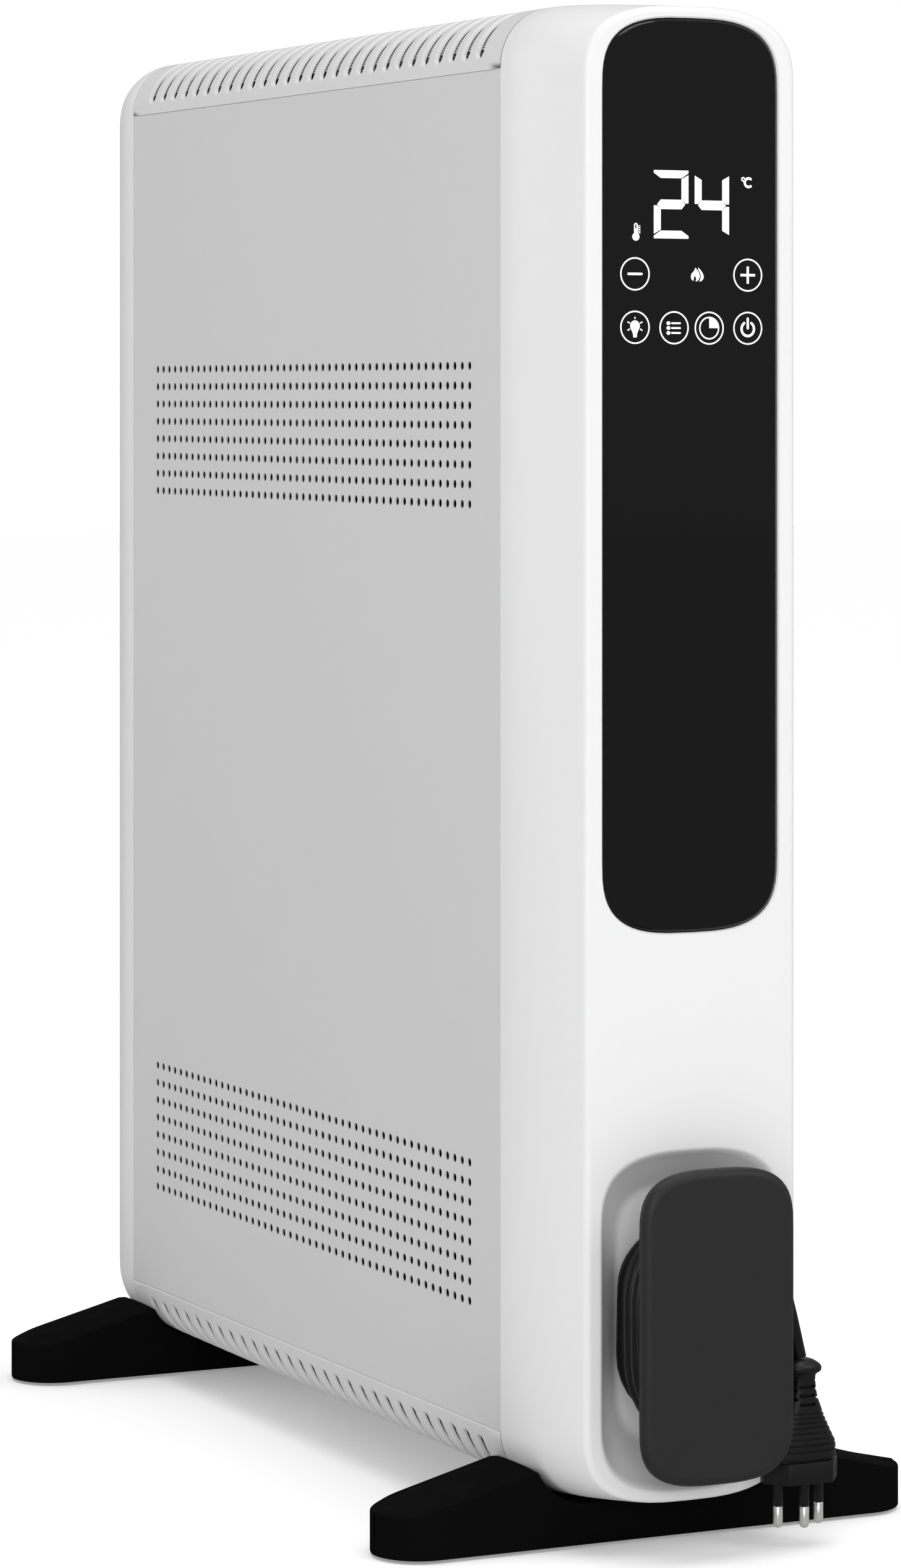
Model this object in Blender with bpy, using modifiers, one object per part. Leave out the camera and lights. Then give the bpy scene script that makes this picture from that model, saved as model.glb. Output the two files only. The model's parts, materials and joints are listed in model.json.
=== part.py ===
"""Oil filled radiator heater: a slim case on two cross feet, with the mains lead wound on its front end.

The front end with the glass faces -Y, the feet run along X, and the heater stands on z = 0.
"""

import math

import bmesh
import bpy
from mathutils import Matrix, Vector

MM = 0.001
GAP = 0.3 * MM  # left between pieces that touch
WELD = 0.01 * MM
SHARP = math.radians(32)
FLAT = math.radians(0.5)

# Case, seen along Y as an upright with rounded corners
HALF_WIDTH = 59 * MM
CASE_LOW = 19.5 * MM
CASE_HIGH = 631 * MM
CORNER = 25 * MM
WALL = 2.4 * MM
PANEL_LOW = 43.8 * MM
PANEL_HIGH = 605.3 * MM
PANEL_SHEET = 1.2 * MM

# Places along Y
FACE_Y = -237.8 * MM
FRONT_SEAM = -182 * MM
REAR_SEAM = 219.4 * MM
REAR_FACE_Y = 263.4 * MM

# End caps narrow towards their flat faces
FACE_HALF = 47.9 * MM
FACE_TOP_DROP = 2.2 * MM
FACE_CORNER_HIGH = 32 * MM
FACE_POWER = 2.8
CAP_EDGE = 2.4 * MM
CAP_STEPS = 6

# Grilles
SLOTS = 28
SLOT_PITCH = 13.25 * MM
SLOT_WIDE = 5.6 * MM
SLOT_FROM_EDGE = 6 * MM
SLOT_RIM = 1 * MM  # runs on along the panels, so that the rim stands square to them
SPINE_HALF = 4 * MM
SLOTS_MIDDLE = 0.5 * (FRONT_SEAM + REAR_SEAM)

# Panel and rear cap fixings
PANEL_FOLD = 9 * MM
PANEL_ROUND = 1.2 * MM
REAR_SCREW_X = 28 * MM
REAR_SCREW_HEIGHTS = {"low": 70 * MM, "high": 580 * MM}

# Control glass
GLASS_HALF = 39.9 * MM
GLASS_LOW = 252.6 * MM
GLASS_HIGH = 623.6 * MM
GLASS_THICK = 3 * MM
GLASS_PROUD = 0.3 * MM
GLASS_BEVEL = 1 * MM
GLASS_CORNER = 30 * MM
GLASS_POWER = 3.1
WINDOW_MARGIN = 5 * MM

# Cord bay: a dish in the front face, a winding hub and a cover plate
DISH_HALF = 40 * MM
DISH_LOW = 26.6 * MM
DISH_HIGH = 162.8 * MM
DISH_DEEP = 22 * MM
DISH_SLOPE = 16.4 * MM
DISH_CORNER = 30 * MM
PLATE_HALF = 34.7 * MM
PLATE_LOW = 31.9 * MM
PLATE_HIGH = 159.3 * MM
PLATE_FRONT = -263.4 * MM
PLATE_THICK = 5.5 * MM
PLATE_EDGE = 3.6 * MM
PLATE_CORNER = 26 * MM
PLATE_POWER = 3.1
HUB_HALF = 22.6 * MM
WIND_LOW = 82 * MM   # middles of the two round ends of the winding
WIND_HIGH = 106 * MM

# Cord, wound in an inner and an outer layer
CORD = 6.2 * MM
INNER_LAYER = 26.7 * MM
OUTER_LAYER = 32.9 * MM
INNER_Y = (-226 * MM, -254.2 * MM)
OUTER_BACK = -246 * MM
GLAND_X = INNER_LAYER
GLAND_Y = INNER_Y[0]
GLAND_TOP = 153 * MM
GLAND_TIP = 127 * MM
GLAND_RADIUS = 4.6 * MM
LEAD_END = 106.4 * MM
CORD_TAIL = (
    (16.4, -246.0, 134.5), (22.4, -246.2, 130.1), (27.9, -246.3, 124.6), (32.2, -246.4, 118.4),
    (35.5, -246.6, 111.6), (38.0, -246.8, 104.6), (40.0, -247.0, 97.4), (41.8, -247.1, 90.2),
    (43.5, -247.2, 83.0), (44.8, -247.3, 77.5),
)

# Plug, hanging pins down beside the plate
PLUG_X = 46 * MM
PLUG_Y = -247.3 * MM
PLUG_SECTIONS = (
    # height, half width, half depth
    (76.4, 4.6, 4.2), (74.6, 7.3, 6.3), (72.6, 7.8, 6.8), (71.4, 7.2, 6.2), (70.4, 5.3, 4.9),
    (65.3, 5.6, 4.9), (61.8, 6.2, 5.1), (59.7, 7.0, 5.4), (53.2, 9.4, 6.2), (47.5, 12.1, 7.0),
    (42.9, 14.4, 7.7), (36.5, 14.8, 7.9), (36.3, 13.4, 6.6), (34.0, 13.4, 6.6),
)
PLUG_BASE = (27 * MM, 35.6 * MM)
PLUG_FRONT_HALF = 10 * MM
PLUG_SIDE_HALF = 17.2 * MM
PLUG_BACK_HALF = 12 * MM
PIN_RADIUS = 2 * MM
PIN_SPREAD = 9.5 * MM
EARTH_OFFSET = 5 * MM
PIN_TIP = 8 * MM
SLEEVE_END = 17 * MM

# Feet
FOOT_HALF = 121 * MM
FOOT_SLOPE_END = 109 * MM
FOOT_SLOPE_LOW = 20.4 * MM
FOOT_WIDE = 40 * MM
FOOT_Y = {"front": -192.4 * MM, "rear": 217.6 * MM}
FOOT_SHOULDER = (59.7 * MM, 33 * MM)
FOOT_END_HIGH = 19 * MM
FOOT_UNDER = 1.4 * MM
CRADLE_LOW = 18.2 * MM
CRADLE_HALF = 61.5 * MM
CRADLE_RADIUS = 24.5 * MM
PAD_X = 100 * MM
SCREW_X = 26 * MM
SCREW_Y = {"front": -199 * MM, "rear": 229 * MM}
SIDES = ((-1, "left"), (1, "right"))

# Oil filled columns
COLUMNS = 9
COLUMN_PITCH = 42 * MM
COLUMN_HALF = 43 * MM
COLUMN_THICK = 9 * MM
COLUMN_LOW = 52 * MM
COLUMN_HIGH = 594 * MM
HEADER_RADIUS = 19 * MM
HEADER_LOW = 92 * MM
HEADER_HIGH = 554 * MM
HEADERS_FRONT = SLOTS_MIDDLE - COLUMN_PITCH * COLUMNS / 2
HEADERS_REAR = SLOTS_MIDDLE + COLUMN_PITCH * COLUMNS / 2
BULKHEAD_IN = 9.5 * MM
BULKHEAD_HOLE = 17 * MM

# Tip-over switch
TILT_PIVOT = Vector((0, -212.2 * MM, 306 * MM))
TILT_ARM = 16 * MM


# --- scene helpers -------------------------------------------------------------------------------

def clear_scene():
    for old in list(bpy.data.objects):
        bpy.data.objects.remove(old)


def new_collection(name, parent):
    made = bpy.data.collections.new(name)
    parent.children.link(made)
    return made


def make_material(name, colour, roughness, metallic=0.0):
    made = bpy.data.materials.new(name)
    made.use_nodes = True
    surface = made.node_tree.nodes["Principled BSDF"]
    surface.inputs["Base Color"].default_value = (*colour, 1)
    surface.inputs["Roughness"].default_value = roughness
    surface.inputs["Metallic"].default_value = metallic
    made.diffuse_color = (*colour, 1)
    return made


def place_object(name, data, material):
    """An object with a material is a piece of the heater; one with none is a cutter or an addition."""
    made = bpy.data.objects.new(name, data)
    if material:
        data.materials.append(material)
        parts.objects.link(made)
    else:
        cutters.objects.link(made)
        made.hide_render = True
        made.display_type = "WIRE"
    return made


def shade(mesh):
    """Round faces are smooth, and real edges stay sharp."""
    mesh.shade_smooth()
    mesh.set_sharp_from_angle(angle=SHARP)


def add_mesh(name, points, faces, material=None, is_open=False):
    """A mesh object with its faces turned outwards, for a loft between unlike sections."""
    mesh = bpy.data.meshes.new(name)
    mesh.from_pydata([tuple(p) for p in points], [], faces)
    work = bmesh.new()
    work.from_mesh(mesh)
    if not is_open:
        bmesh.ops.recalc_face_normals(work, faces=work.faces)
        bmesh.ops.connect_verts_nonplanar(work, angle_limit=math.radians(0.01), faces=work.faces)
    work.to_mesh(mesh)
    work.free()
    shade(mesh)
    return place_object(name, mesh, material)


def combine(target, other, operation="DIFFERENCE"):
    modifier = target.modifiers.new(other.name, "BOOLEAN")
    modifier.operation = operation
    modifier.solver = "EXACT"
    modifier.object = other


def bevel(target, width, segments=1, weighted=False):
    """Breaks the sharp edges, or with weighted only the edges that weigh_edges chose."""
    modifier = target.modifiers.new("bevel", "BEVEL")
    modifier.width = width
    modifier.segments = segments
    modifier.limit_method = "WEIGHT" if weighted else "ANGLE"
    modifier.angle_limit = math.radians(50)
    return target


def weigh_edges(target, is_chosen):
    """Marks for a bevel the edges whose two ends are both chosen."""
    mesh = target.data
    weights = mesh.attributes.new("bevel_weight_edge", "FLOAT", "EDGE")
    for edge in mesh.edges:
        weights.data[edge.index].value = float(all(is_chosen(mesh.vertices[v].co) for v in edge.vertices))


# --- shapes --------------------------------------------------------------------------------------

def outline(half, low, high, corner_x, corner_z, power=2.0, steps=6):
    """(x, z) points of an upright with four rounded corners, each a quarter of a superellipse."""
    made = []
    for side, end in ((1, 1), (-1, 1), (-1, -1), (1, -1)):
        arc = []
        for i in range(steps + 1):
            angle = 0.5 * math.pi * i / steps
            across = half - corner_x + corner_x * math.cos(angle) ** (2 / power)
            along = corner_z * (1 - abs(math.sin(angle)) ** (2 / power))
            arc.append((side * across, high - along if end > 0 else low + along))
        made += arc if side * end > 0 else arc[::-1]
    return drop_repeats(made)


def drop_repeats(points):
    """Leaves out a point that lies on the one before it, as where two corners meet in the middle."""
    kept = []
    for point in points:
        if not kept or math.dist(point, kept[-1]) > 1e-6:
            kept.append(point)
    if math.dist(kept[0], kept[-1]) < 1e-6:
        kept.pop()
    return kept


def loft(name, rings, material=None):
    """A closed solid through rings that have the same number of points."""
    count = len(rings[0])
    points = [p for ring in rings for p in ring]
    faces = [list(range(count)), list(range((len(rings) - 1) * count, len(rings) * count))]
    for r in range(len(rings) - 1):
        for i in range(count):
            j = (i + 1) % count
            faces.append((r * count + i, r * count + j, (r + 1) * count + j, (r + 1) * count + i))
    return add_mesh(name, points, faces, material)


def at_y(shape, y):
    return [(x, y, z) for x, z in shape]


def flat_curve(name, shapes, thick):
    """A 2D curve filled between its outlines, in its own X-Y plane."""
    curve = bpy.data.curves.new(name, "CURVE")
    curve.dimensions = "2D"
    curve.fill_mode = "BOTH"
    curve.extrude = thick / 2
    for shape in shapes:
        spline = curve.splines.new("POLY")
        spline.points.add(len(shape) - 1)
        spline.use_cyclic_u = True
        for place, (x, y) in zip(spline.points, shape):
            place.co = (x, y, 0, 1)
    return curve


def plate(name, shapes, y_from, y_to, material):
    """A flat plate across the heater, with an outline and any holes in (x, z)."""
    made = place_object(name, flat_curve(name, shapes, y_to - y_from), material)
    made.location.y = (y_from + y_to) / 2
    made.rotation_euler.x = math.radians(90)
    return made


def mesh_of(curve_object, is_flat=True):
    """The curve as a mesh with its caps welded on, for a solid that a Boolean cuts or a Bevel rounds."""
    bpy.context.view_layer.update()
    graph = bpy.context.evaluated_depsgraph_get()
    mesh = bpy.data.meshes.new_from_object(curve_object.evaluated_get(graph))
    mesh.transform(curve_object.matrix_world)
    bpy.data.objects.remove(curve_object)
    work = bmesh.new()
    work.from_mesh(mesh)
    bmesh.ops.remove_doubles(work, verts=work.verts, dist=WELD)
    if is_flat:
        bmesh.ops.dissolve_limit(work, angle_limit=FLAT, verts=work.verts, edges=work.edges)
    bmesh.ops.recalc_face_normals(work, faces=work.faces)
    work.to_mesh(mesh)
    work.free()
    shade(mesh)
    return mesh


def solid_plate(name, shapes, y_from, y_to, material=None):
    """The same plate as a mesh."""
    return place_object(name, mesh_of(plate(f"{name}_guide", shapes, y_from, y_to, None)), material)


def box(name, low, high, material=None):
    low, high = Vector(low), Vector(high)
    mesh = bpy.data.meshes.new(name)
    work = bmesh.new()
    matrix = Matrix.Translation((low + high) / 2) @ Matrix.Diagonal((*(high - low), 1))
    bmesh.ops.create_cube(work, size=1, matrix=matrix)
    work.to_mesh(mesh)
    work.free()
    return place_object(name, mesh, material)


def turned(name, profile, place, axis="Z", material=None, sides=16):
    """A profile of (along, radius) pairs, from one end of the axis to the other, screwed round it."""
    ends = [(profile[0][0], 0)] + list(profile) + [(profile[-1][0], 0)]
    points = [(radius, 0, along) for along, radius in ends[::-1]]
    mesh = bpy.data.meshes.new(name)
    mesh.from_pydata(points, [(i, i + 1) for i in range(len(points) - 1)], [])
    made = place_object(name, mesh, material)
    made.location = place
    made.rotation_euler.x = math.radians(-90) if axis == "Y" else 0
    screw = made.modifiers.new("screw", "SCREW")
    screw.steps = sides
    screw.render_steps = sides
    screw.use_merge_vertices = True
    screw.merge_threshold = WELD
    screw.use_smooth_shade = sides > 8
    return made


def smooth_route(route, per_step=3):
    """Points on a Catmull-Rom curve through the route."""
    ends = [2 * route[0] - route[1]] + route + [2 * route[-1] - route[-2]]
    made = []
    for a, b, c, d in zip(ends, ends[1:], ends[2:], ends[3:]):
        for i in range(per_step):
            t = i / per_step
            made.append(0.5 * (2 * b + (c - a) * t + (2 * a - 5 * b + 4 * c - d) * t * t
                               + (3 * b - a - 3 * c + d) * t ** 3))
    return made + [route[-1]]


def cord_curve(name, points, diameter, material, resolution=2):
    """A round tube with filled ends along the points."""
    curve = bpy.data.curves.new(name, "CURVE")
    curve.dimensions = "3D"
    curve.bevel_depth = diameter / 2
    curve.bevel_resolution = resolution
    curve.use_fill_caps = True
    spline = curve.splines.new("POLY")
    spline.points.add(len(points) - 1)
    for place, point in zip(spline.points, points):
        place.co = (*point, 1)
    return place_object(name, curve, material)


# --- case ----------------------------------------------------------------------------------------

def seam_outline(inset=0.0, steps=6):
    corner = CORNER - inset
    return outline(HALF_WIDTH - inset, CASE_LOW + inset, CASE_HIGH - inset, corner, corner, 2.0, steps)


def cap_section(closing, inset, edge=0.0):
    """The case's outline part of the way, 0 to 1, from a seam to an end face."""
    swell = closing ** 1.8
    narrowed = (HALF_WIDTH - FACE_HALF) * swell + inset + edge
    dropped = FACE_TOP_DROP * closing ** 2 + inset + edge
    half = HALF_WIDTH - narrowed
    corner_x = CORNER - inset + (FACE_HALF - CORNER) * swell - edge
    corner_z = CORNER - inset + (FACE_CORNER_HIGH - CORNER) * swell - edge
    power = 2 + (FACE_POWER - 2) * swell
    return outline(half, CASE_LOW + 0.7 * dropped + 0.3 * (inset + edge), CASE_HIGH - dropped,
                   min(corner_x, half - 0.2 * MM), corner_z, power)


def cap_rings(seam, face, inset=0.0, beyond=0.0):
    """Rings from the seam to the face. The wall runs straight for a tenth of the way, then closes in."""
    way = face - seam
    direction = math.copysign(1, way)
    rings = [at_y(cap_section(0, inset), seam - direction * beyond)]
    last = 1 - (CAP_EDGE / abs(way)) * 0.6 - (inset / abs(way))
    for i in range(CAP_STEPS + 1):
        along = 0.1 + (last - 0.1) * i / CAP_STEPS
        rings.append(at_y(cap_section((along - 0.1) / 0.9, inset), seam + way * along))
    if not inset:
        rings.append(at_y(cap_section(1, 0, 0.3 * CAP_EDGE), face - way * 0.2 * CAP_EDGE / abs(way)))
        rings.append(at_y(cap_section(1, 0, CAP_EDGE), face))
    return rings


def dish_rings(grow, back, mouth):
    """The cord bay: steep near its mouth and its floor, and gently sloped between them."""
    rings = []
    for deep, inset in ((-0.05, 0.0), (0.06, 0.06), (0.3, 0.22), (0.62, 0.52), (0.86, 0.8), (1.0, 1.0)):
        slope = DISH_SLOPE * inset - grow
        y = mouth if deep < 0 else FACE_Y + DISH_DEEP * deep + (back if deep > 0.9 else back * deep)
        shape = outline(DISH_HALF - slope, DISH_LOW + slope, DISH_HIGH - slope,
                        DISH_HALF - slope - 0.2 * MM, DISH_CORNER + grow - 0.3 * slope, 2.9)
        rings.append(at_y(shape, y))
    return rings


def glass_outline(inset=0.0):
    return outline(GLASS_HALF - inset, GLASS_LOW + inset, GLASS_HIGH - inset,
                   GLASS_HALF - inset, GLASS_CORNER - inset, GLASS_POWER)


def make_front_cap(paint):
    cap = loft("front_cap", cap_rings(FRONT_SEAM - GAP / 2, FACE_Y), paint)
    combine(cap, loft("front_cap_room", cap_rings(FRONT_SEAM, FACE_Y, WALL, 3 * MM)))
    tray = solid_plate("glass_tray", [glass_outline(-2.2 * MM)], FACE_Y + 1 * MM, FACE_Y + 5.4 * MM)
    combine(cap, tray, "UNION")
    combine(cap, loft("dish_shell", dish_rings(2.2 * MM, 2.2 * MM, FACE_Y + 1 * MM)), "UNION")
    combine(cap, loft("dish_room", dish_rings(0, 0, FACE_Y - 2 * MM)))
    pocket_floor = FACE_Y + GLASS_THICK - GLASS_PROUD + GAP
    room, window = glass_outline(-0.4 * MM), glass_outline(WINDOW_MARGIN)
    combine(cap, loft("glass_pocket", [at_y(room, FACE_Y - 2 * MM), at_y(room, pocket_floor),
                                       at_y(window, pocket_floor), at_y(window, FACE_Y + 8 * MM)]))
    bore = GLAND_RADIUS + GAP
    hole = turned("gland_hole", ((-9 * MM, bore), (18 * MM, bore)), (GLAND_X, GLAND_Y, 143 * MM))
    combine(cap, hole)
    for side, side_name in SIDES:
        combine(cap, screw_hole("front", side, side_name))


def make_rear_cap(paint):
    cap = loft("rear_cap", cap_rings(REAR_SEAM + GAP / 2, REAR_FACE_Y), paint)
    combine(cap, loft("rear_cap_room", cap_rings(REAR_SEAM, REAR_FACE_Y, WALL, 3 * MM)))
    for side, side_name in SIDES:
        combine(cap, screw_hole("rear", side, side_name))
        for level, height in REAR_SCREW_HEIGHTS.items():
            place = (side * REAR_SCREW_X, REAR_FACE_Y, height)
            combine(cap, turned(f"rear_screw_hole_{level}_{side_name}", (
                (-12 * MM, 2.1 * MM), (-1.5 * MM, 2.1 * MM), (-1.4 * MM, 4.4 * MM), (1 * MM, 4.4 * MM)),
                place, "Y"))


def make_rear_screws(steel):
    for side, side_name in SIDES:
        for level, height in REAR_SCREW_HEIGHTS.items():
            turned(f"rear_cap_screw_{level}_{side_name}", (
                (-11 * MM, 1.5 * MM), (-1.1 * MM, 1.6 * MM), (-1 * MM, 3.8 * MM), (-0.4 * MM, 3.8 * MM),
                (-0.1 * MM, 2.6 * MM)), (side * REAR_SCREW_X, REAR_FACE_Y, height), "Y", steel, 12)


def make_side_panel(name, side, paint):
    """A steel sheet with its long edges and its ends folded in."""
    low = Vector((HALF_WIDTH - PANEL_FOLD, FRONT_SEAM + GAP, PANEL_LOW + GAP))
    high = Vector((HALF_WIDTH, REAR_SEAM - GAP, PANEL_HIGH - GAP))
    low.x, high.x = sorted((side * low.x, side * high.x))
    panel = box(name, low, high, paint)
    work = bmesh.new()
    work.from_mesh(panel.data)
    behind = [face for face in work.faces if face.normal.x * side < -0.5]
    bmesh.ops.delete(work, geom=behind, context="FACES_ONLY")
    work.to_mesh(panel.data)
    work.free()
    bevel(panel, PANEL_ROUND, 2)
    sheet = panel.modifiers.new("sheet", "SOLIDIFY")
    sheet.thickness = PANEL_SHEET
    sheet.offset = -1
    sheet.use_even_offset = True


def arch_places(up):
    """How far along the arch from its corner's start each line of the grid lies, out to the middle."""
    start = PANEL_HIGH - (CASE_HIGH - CORNER) if up > 0 else CASE_LOW + CORNER - PANEL_LOW
    slot_from = start + SLOT_FROM_EDGE
    middle = CORNER * math.pi / 2 + HALF_WIDTH - CORNER
    slot_to = middle - SPINE_HALF
    slots = [slot_from + (slot_to - slot_from) * share for share in (0, 0.18, 0.36, 0.55, 1)]
    return [start, start + SLOT_RIM] + slots + [middle]


def on_arch(along, up):
    """(x, z) on the case's outline, on its +X side, above its high corner or below its low one."""
    centre = CASE_HIGH - CORNER if up > 0 else CASE_LOW + CORNER
    if along < 0:
        return HALF_WIDTH, centre + up * along
    if along < CORNER * math.pi / 2:
        angle = along / CORNER
        return HALF_WIDTH - CORNER + CORNER * math.cos(angle), centre + up * CORNER * math.sin(angle)
    return HALF_WIDTH - CORNER - (along - CORNER * math.pi / 2), centre + up * CORNER


def make_grille(name, up, plastic):
    """An arch of sheet over the columns, pierced by rows of slots across it."""
    line = [on_arch(along, up) for along in arch_places(up)]
    ys = [FRONT_SEAM + GAP]
    for k in range(SLOTS):
        middle = SLOTS_MIDDLE + (k - (SLOTS - 1) / 2) * SLOT_PITCH
        ys += [middle - SLOT_WIDE / 2, middle + SLOT_WIDE / 2]
    ys.append(REAR_SEAM - GAP)
    across = len(line)
    faces = []
    for row in range(len(ys) - 1):
        for step in range(across - 1):
            in_slot = row % 2 and 1 < step < across - 2
            if in_slot:
                continue
            a, b = row * across + step, row * across + step + 1
            face = (a, a + across, b + across, b)
            faces.append(face if up > 0 else face[::-1])
    grille = add_mesh(name, [(x, y, z) for y in ys for x, z in line], faces, plastic, is_open=True)
    mirror = grille.modifiers.new("mirror", "MIRROR")
    mirror.merge_threshold = WELD
    sheet = grille.modifiers.new("sheet", "SOLIDIFY")
    sheet.thickness = WALL
    sheet.offset = -1
    sheet.use_even_offset = True


# --- feet ----------------------------------------------------------------------------------------

def screw_hole(end, side, side_name):
    """A clear hole through the foot, the case and the bracket, wide enough for the head below."""
    name = f"foot_screw_hole_{end}_{side_name}"
    if name in bpy.data.objects:
        return bpy.data.objects[name]
    return turned(name, ((-1 * MM, 5 * MM), (7 * MM, 5 * MM), (7.1 * MM, 2.6 * MM), (30 * MM, 2.6 * MM)),
                  (side * SCREW_X, SCREW_Y[end], 0), "Z", None, 12)


def foot_top(x):
    """Height of the foot's upper surface: a cradle under the case, then a slope out to the end."""
    shoulder_x, shoulder_z = FOOT_SHOULDER
    if x < shoulder_x:
        beyond = min(max(x - (CRADLE_HALF - CRADLE_RADIUS), 0), CRADLE_RADIUS)
        return CRADLE_LOW + CRADLE_RADIUS - math.sqrt(CRADLE_RADIUS ** 2 - beyond ** 2)
    along = min((x - shoulder_x) / (FOOT_SLOPE_END - shoulder_x), 1)
    beyond = max(x - FOOT_SLOPE_END, 0) / (FOOT_HALF - FOOT_SLOPE_END)
    height = shoulder_z + (FOOT_SLOPE_LOW - shoulder_z) * along
    return height - (FOOT_SLOPE_LOW - FOOT_END_HIGH) * (1 - (1 - beyond) ** 2)


def make_foot(name, end, plastic):
    """A bar across the heater: round ends, tops that slope up to the case, and a cradle under it."""
    half = FOOT_WIDE / 2
    straight = FOOT_HALF - half
    stations = [0, CRADLE_HALF - CRADLE_RADIUS, 42 * MM, 47 * MM, 52 * MM, 56.2 * MM, FOOT_SHOULDER[0],
                78 * MM, straight]
    stations += [straight + half * math.sin(math.radians(a)) for a in (25, 45, 62, 76, 86)]
    points = []
    faces = []
    for x in stations:
        beyond = max(x - straight, 0)
        reach = max(math.sqrt(half ** 2 - beyond ** 2), 1 * MM)
        front, back = FOOT_Y[end] - reach, FOOT_Y[end] + reach
        high = foot_top(x)
        points += [(x, front, FOOT_UNDER), (x, back, FOOT_UNDER), (x, back, high), (x, front, high)]
    for start in range(0, 4 * len(stations) - 4, 4):
        for i in range(4):
            j = (i + 1) % 4
            faces.append((start + i, start + j, start + 4 + j, start + 4 + i))
    faces.append(tuple(range(4 * len(stations) - 4, 4 * len(stations))))
    foot = add_mesh(name, points, faces, plastic, is_open=True)
    mirror = foot.modifiers.new("mirror", "MIRROR")
    mirror.merge_threshold = WELD
    for side, side_name in SIDES:
        combine(foot, screw_hole(end, side, side_name))
        combine(foot, turned(f"pad_seat_{end}_{side_name}", ((-1 * MM, 9.3 * MM), (2.4 * MM, 9.3 * MM)),
                             (side * PAD_X, FOOT_Y[end], 0), "Z", None, 16))


def make_foot_fittings(end, rubber, steel, zinc):
    y = SCREW_Y[end]
    bracket = box(f"{end}_foot_bracket", (-33 * MM, y - 8 * MM, 23.2 * MM), (33 * MM, y + 8 * MM, 25.2 * MM),
                  zinc)
    for side, side_name in SIDES:
        turned(f"foot_pad_{end}_{side_name}", ((0, 8.4 * MM), (0.5 * MM, 9 * MM), (2.1 * MM, 9 * MM)),
               (side * PAD_X, FOOT_Y[end], 0), "Z", rubber, 16)
        turned(f"foot_screw_{end}_{side_name}", (
            (3.4 * MM, 3.2 * MM), (4 * MM, 4.2 * MM), (6.7 * MM, 4.2 * MM), (6.8 * MM, 2 * MM),
            (27 * MM, 2 * MM)),
            (side * SCREW_X, y, 0), "Z", steel, 12)
        combine(bracket, screw_hole(end, side, side_name))


# --- oil filled columns --------------------------------------------------------------------------

def make_column(number, steel):
    """One pressed column, with a collar at top and bottom that meets the next column's."""
    y = SLOTS_MIDDLE + (number - (COLUMNS + 1) / 2) * COLUMN_PITCH
    shape = outline(COLUMN_HALF, COLUMN_LOW, COLUMN_HIGH, COLUMN_HALF - 2 * MM, 34 * MM, 2.4, 3)
    rim = outline(COLUMN_HALF - 5 * MM, COLUMN_LOW + 5 * MM, COLUMN_HIGH - 5 * MM, COLUMN_HALF - 8 * MM,
                  30 * MM, 2.4, 3)
    half = COLUMN_THICK / 2
    rings = [at_y(rim, y - half), at_y(shape, y - 1 * MM), at_y(shape, y + 1 * MM), at_y(rim, y + half)]
    column = loft(f"oil_column_{number}", rings, steel)
    for level, height in (("low", HEADER_LOW), ("high", HEADER_HIGH)):
        reach = COLUMN_PITCH / 2 - GAP / 2
        neck = HEADER_RADIUS - 3 * MM
        collar = turned(f"collar_{number}_{level}", (
            (-reach, neck), (-half - 2 * MM, neck), (-half + 1 * MM, HEADER_RADIUS),
            (half - 1 * MM, HEADER_RADIUS), (half + 2 * MM, neck), (reach, neck)),
            (0, y, height), "Y", None, 12)
        combine(column, collar, "UNION")


def circle(x, z, radius, sides=16):
    return [(x + radius * math.cos(2 * math.pi * i / sides), z + radius * math.sin(2 * math.pi * i / sides))
            for i in range(sides)]


def make_bulkhead(name, y, zinc):
    """A steel plate across the case, with clear holes for the columns' collars."""
    holes = [circle(0, height, BULKHEAD_HOLE) for height in (HEADER_LOW, HEADER_HIGH)]
    plate(name, [seam_outline(BULKHEAD_IN, 4)] + holes, y - 0.6 * MM, y + 0.6 * MM, zinc)


def make_heating_parts(steel, brass, black, white):
    turned("element_flange", ((-5 * MM, 14 * MM), (-4 * MM, 15.5 * MM), (-GAP, 15.5 * MM)),
           (0, HEADERS_FRONT, HEADER_LOW), "Y", brass, 16)
    box("element_terminals", (-9 * MM, HEADERS_FRONT - 17 * MM, HEADER_LOW - 6 * MM),
        (9 * MM, HEADERS_FRONT - 5.3 * MM, HEADER_LOW + 6 * MM), white)
    turned("oil_filler_plug", ((-8 * MM, 6 * MM), (-7 * MM, 7 * MM), (-GAP, 7 * MM)),
           (0, HEADERS_FRONT, HEADER_HIGH), "Y", steel, 6)
    column_face = HEADERS_FRONT + (COLUMN_PITCH - COLUMN_THICK) / 2
    turned("thermal_cutout", ((-6 * MM, 4 * MM), (-5 * MM, 6.5 * MM), (-GAP, 6.5 * MM)),
           (0, column_face, 400 * MM), "Y", black, 12)


# --- control end ---------------------------------------------------------------------------------

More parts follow.
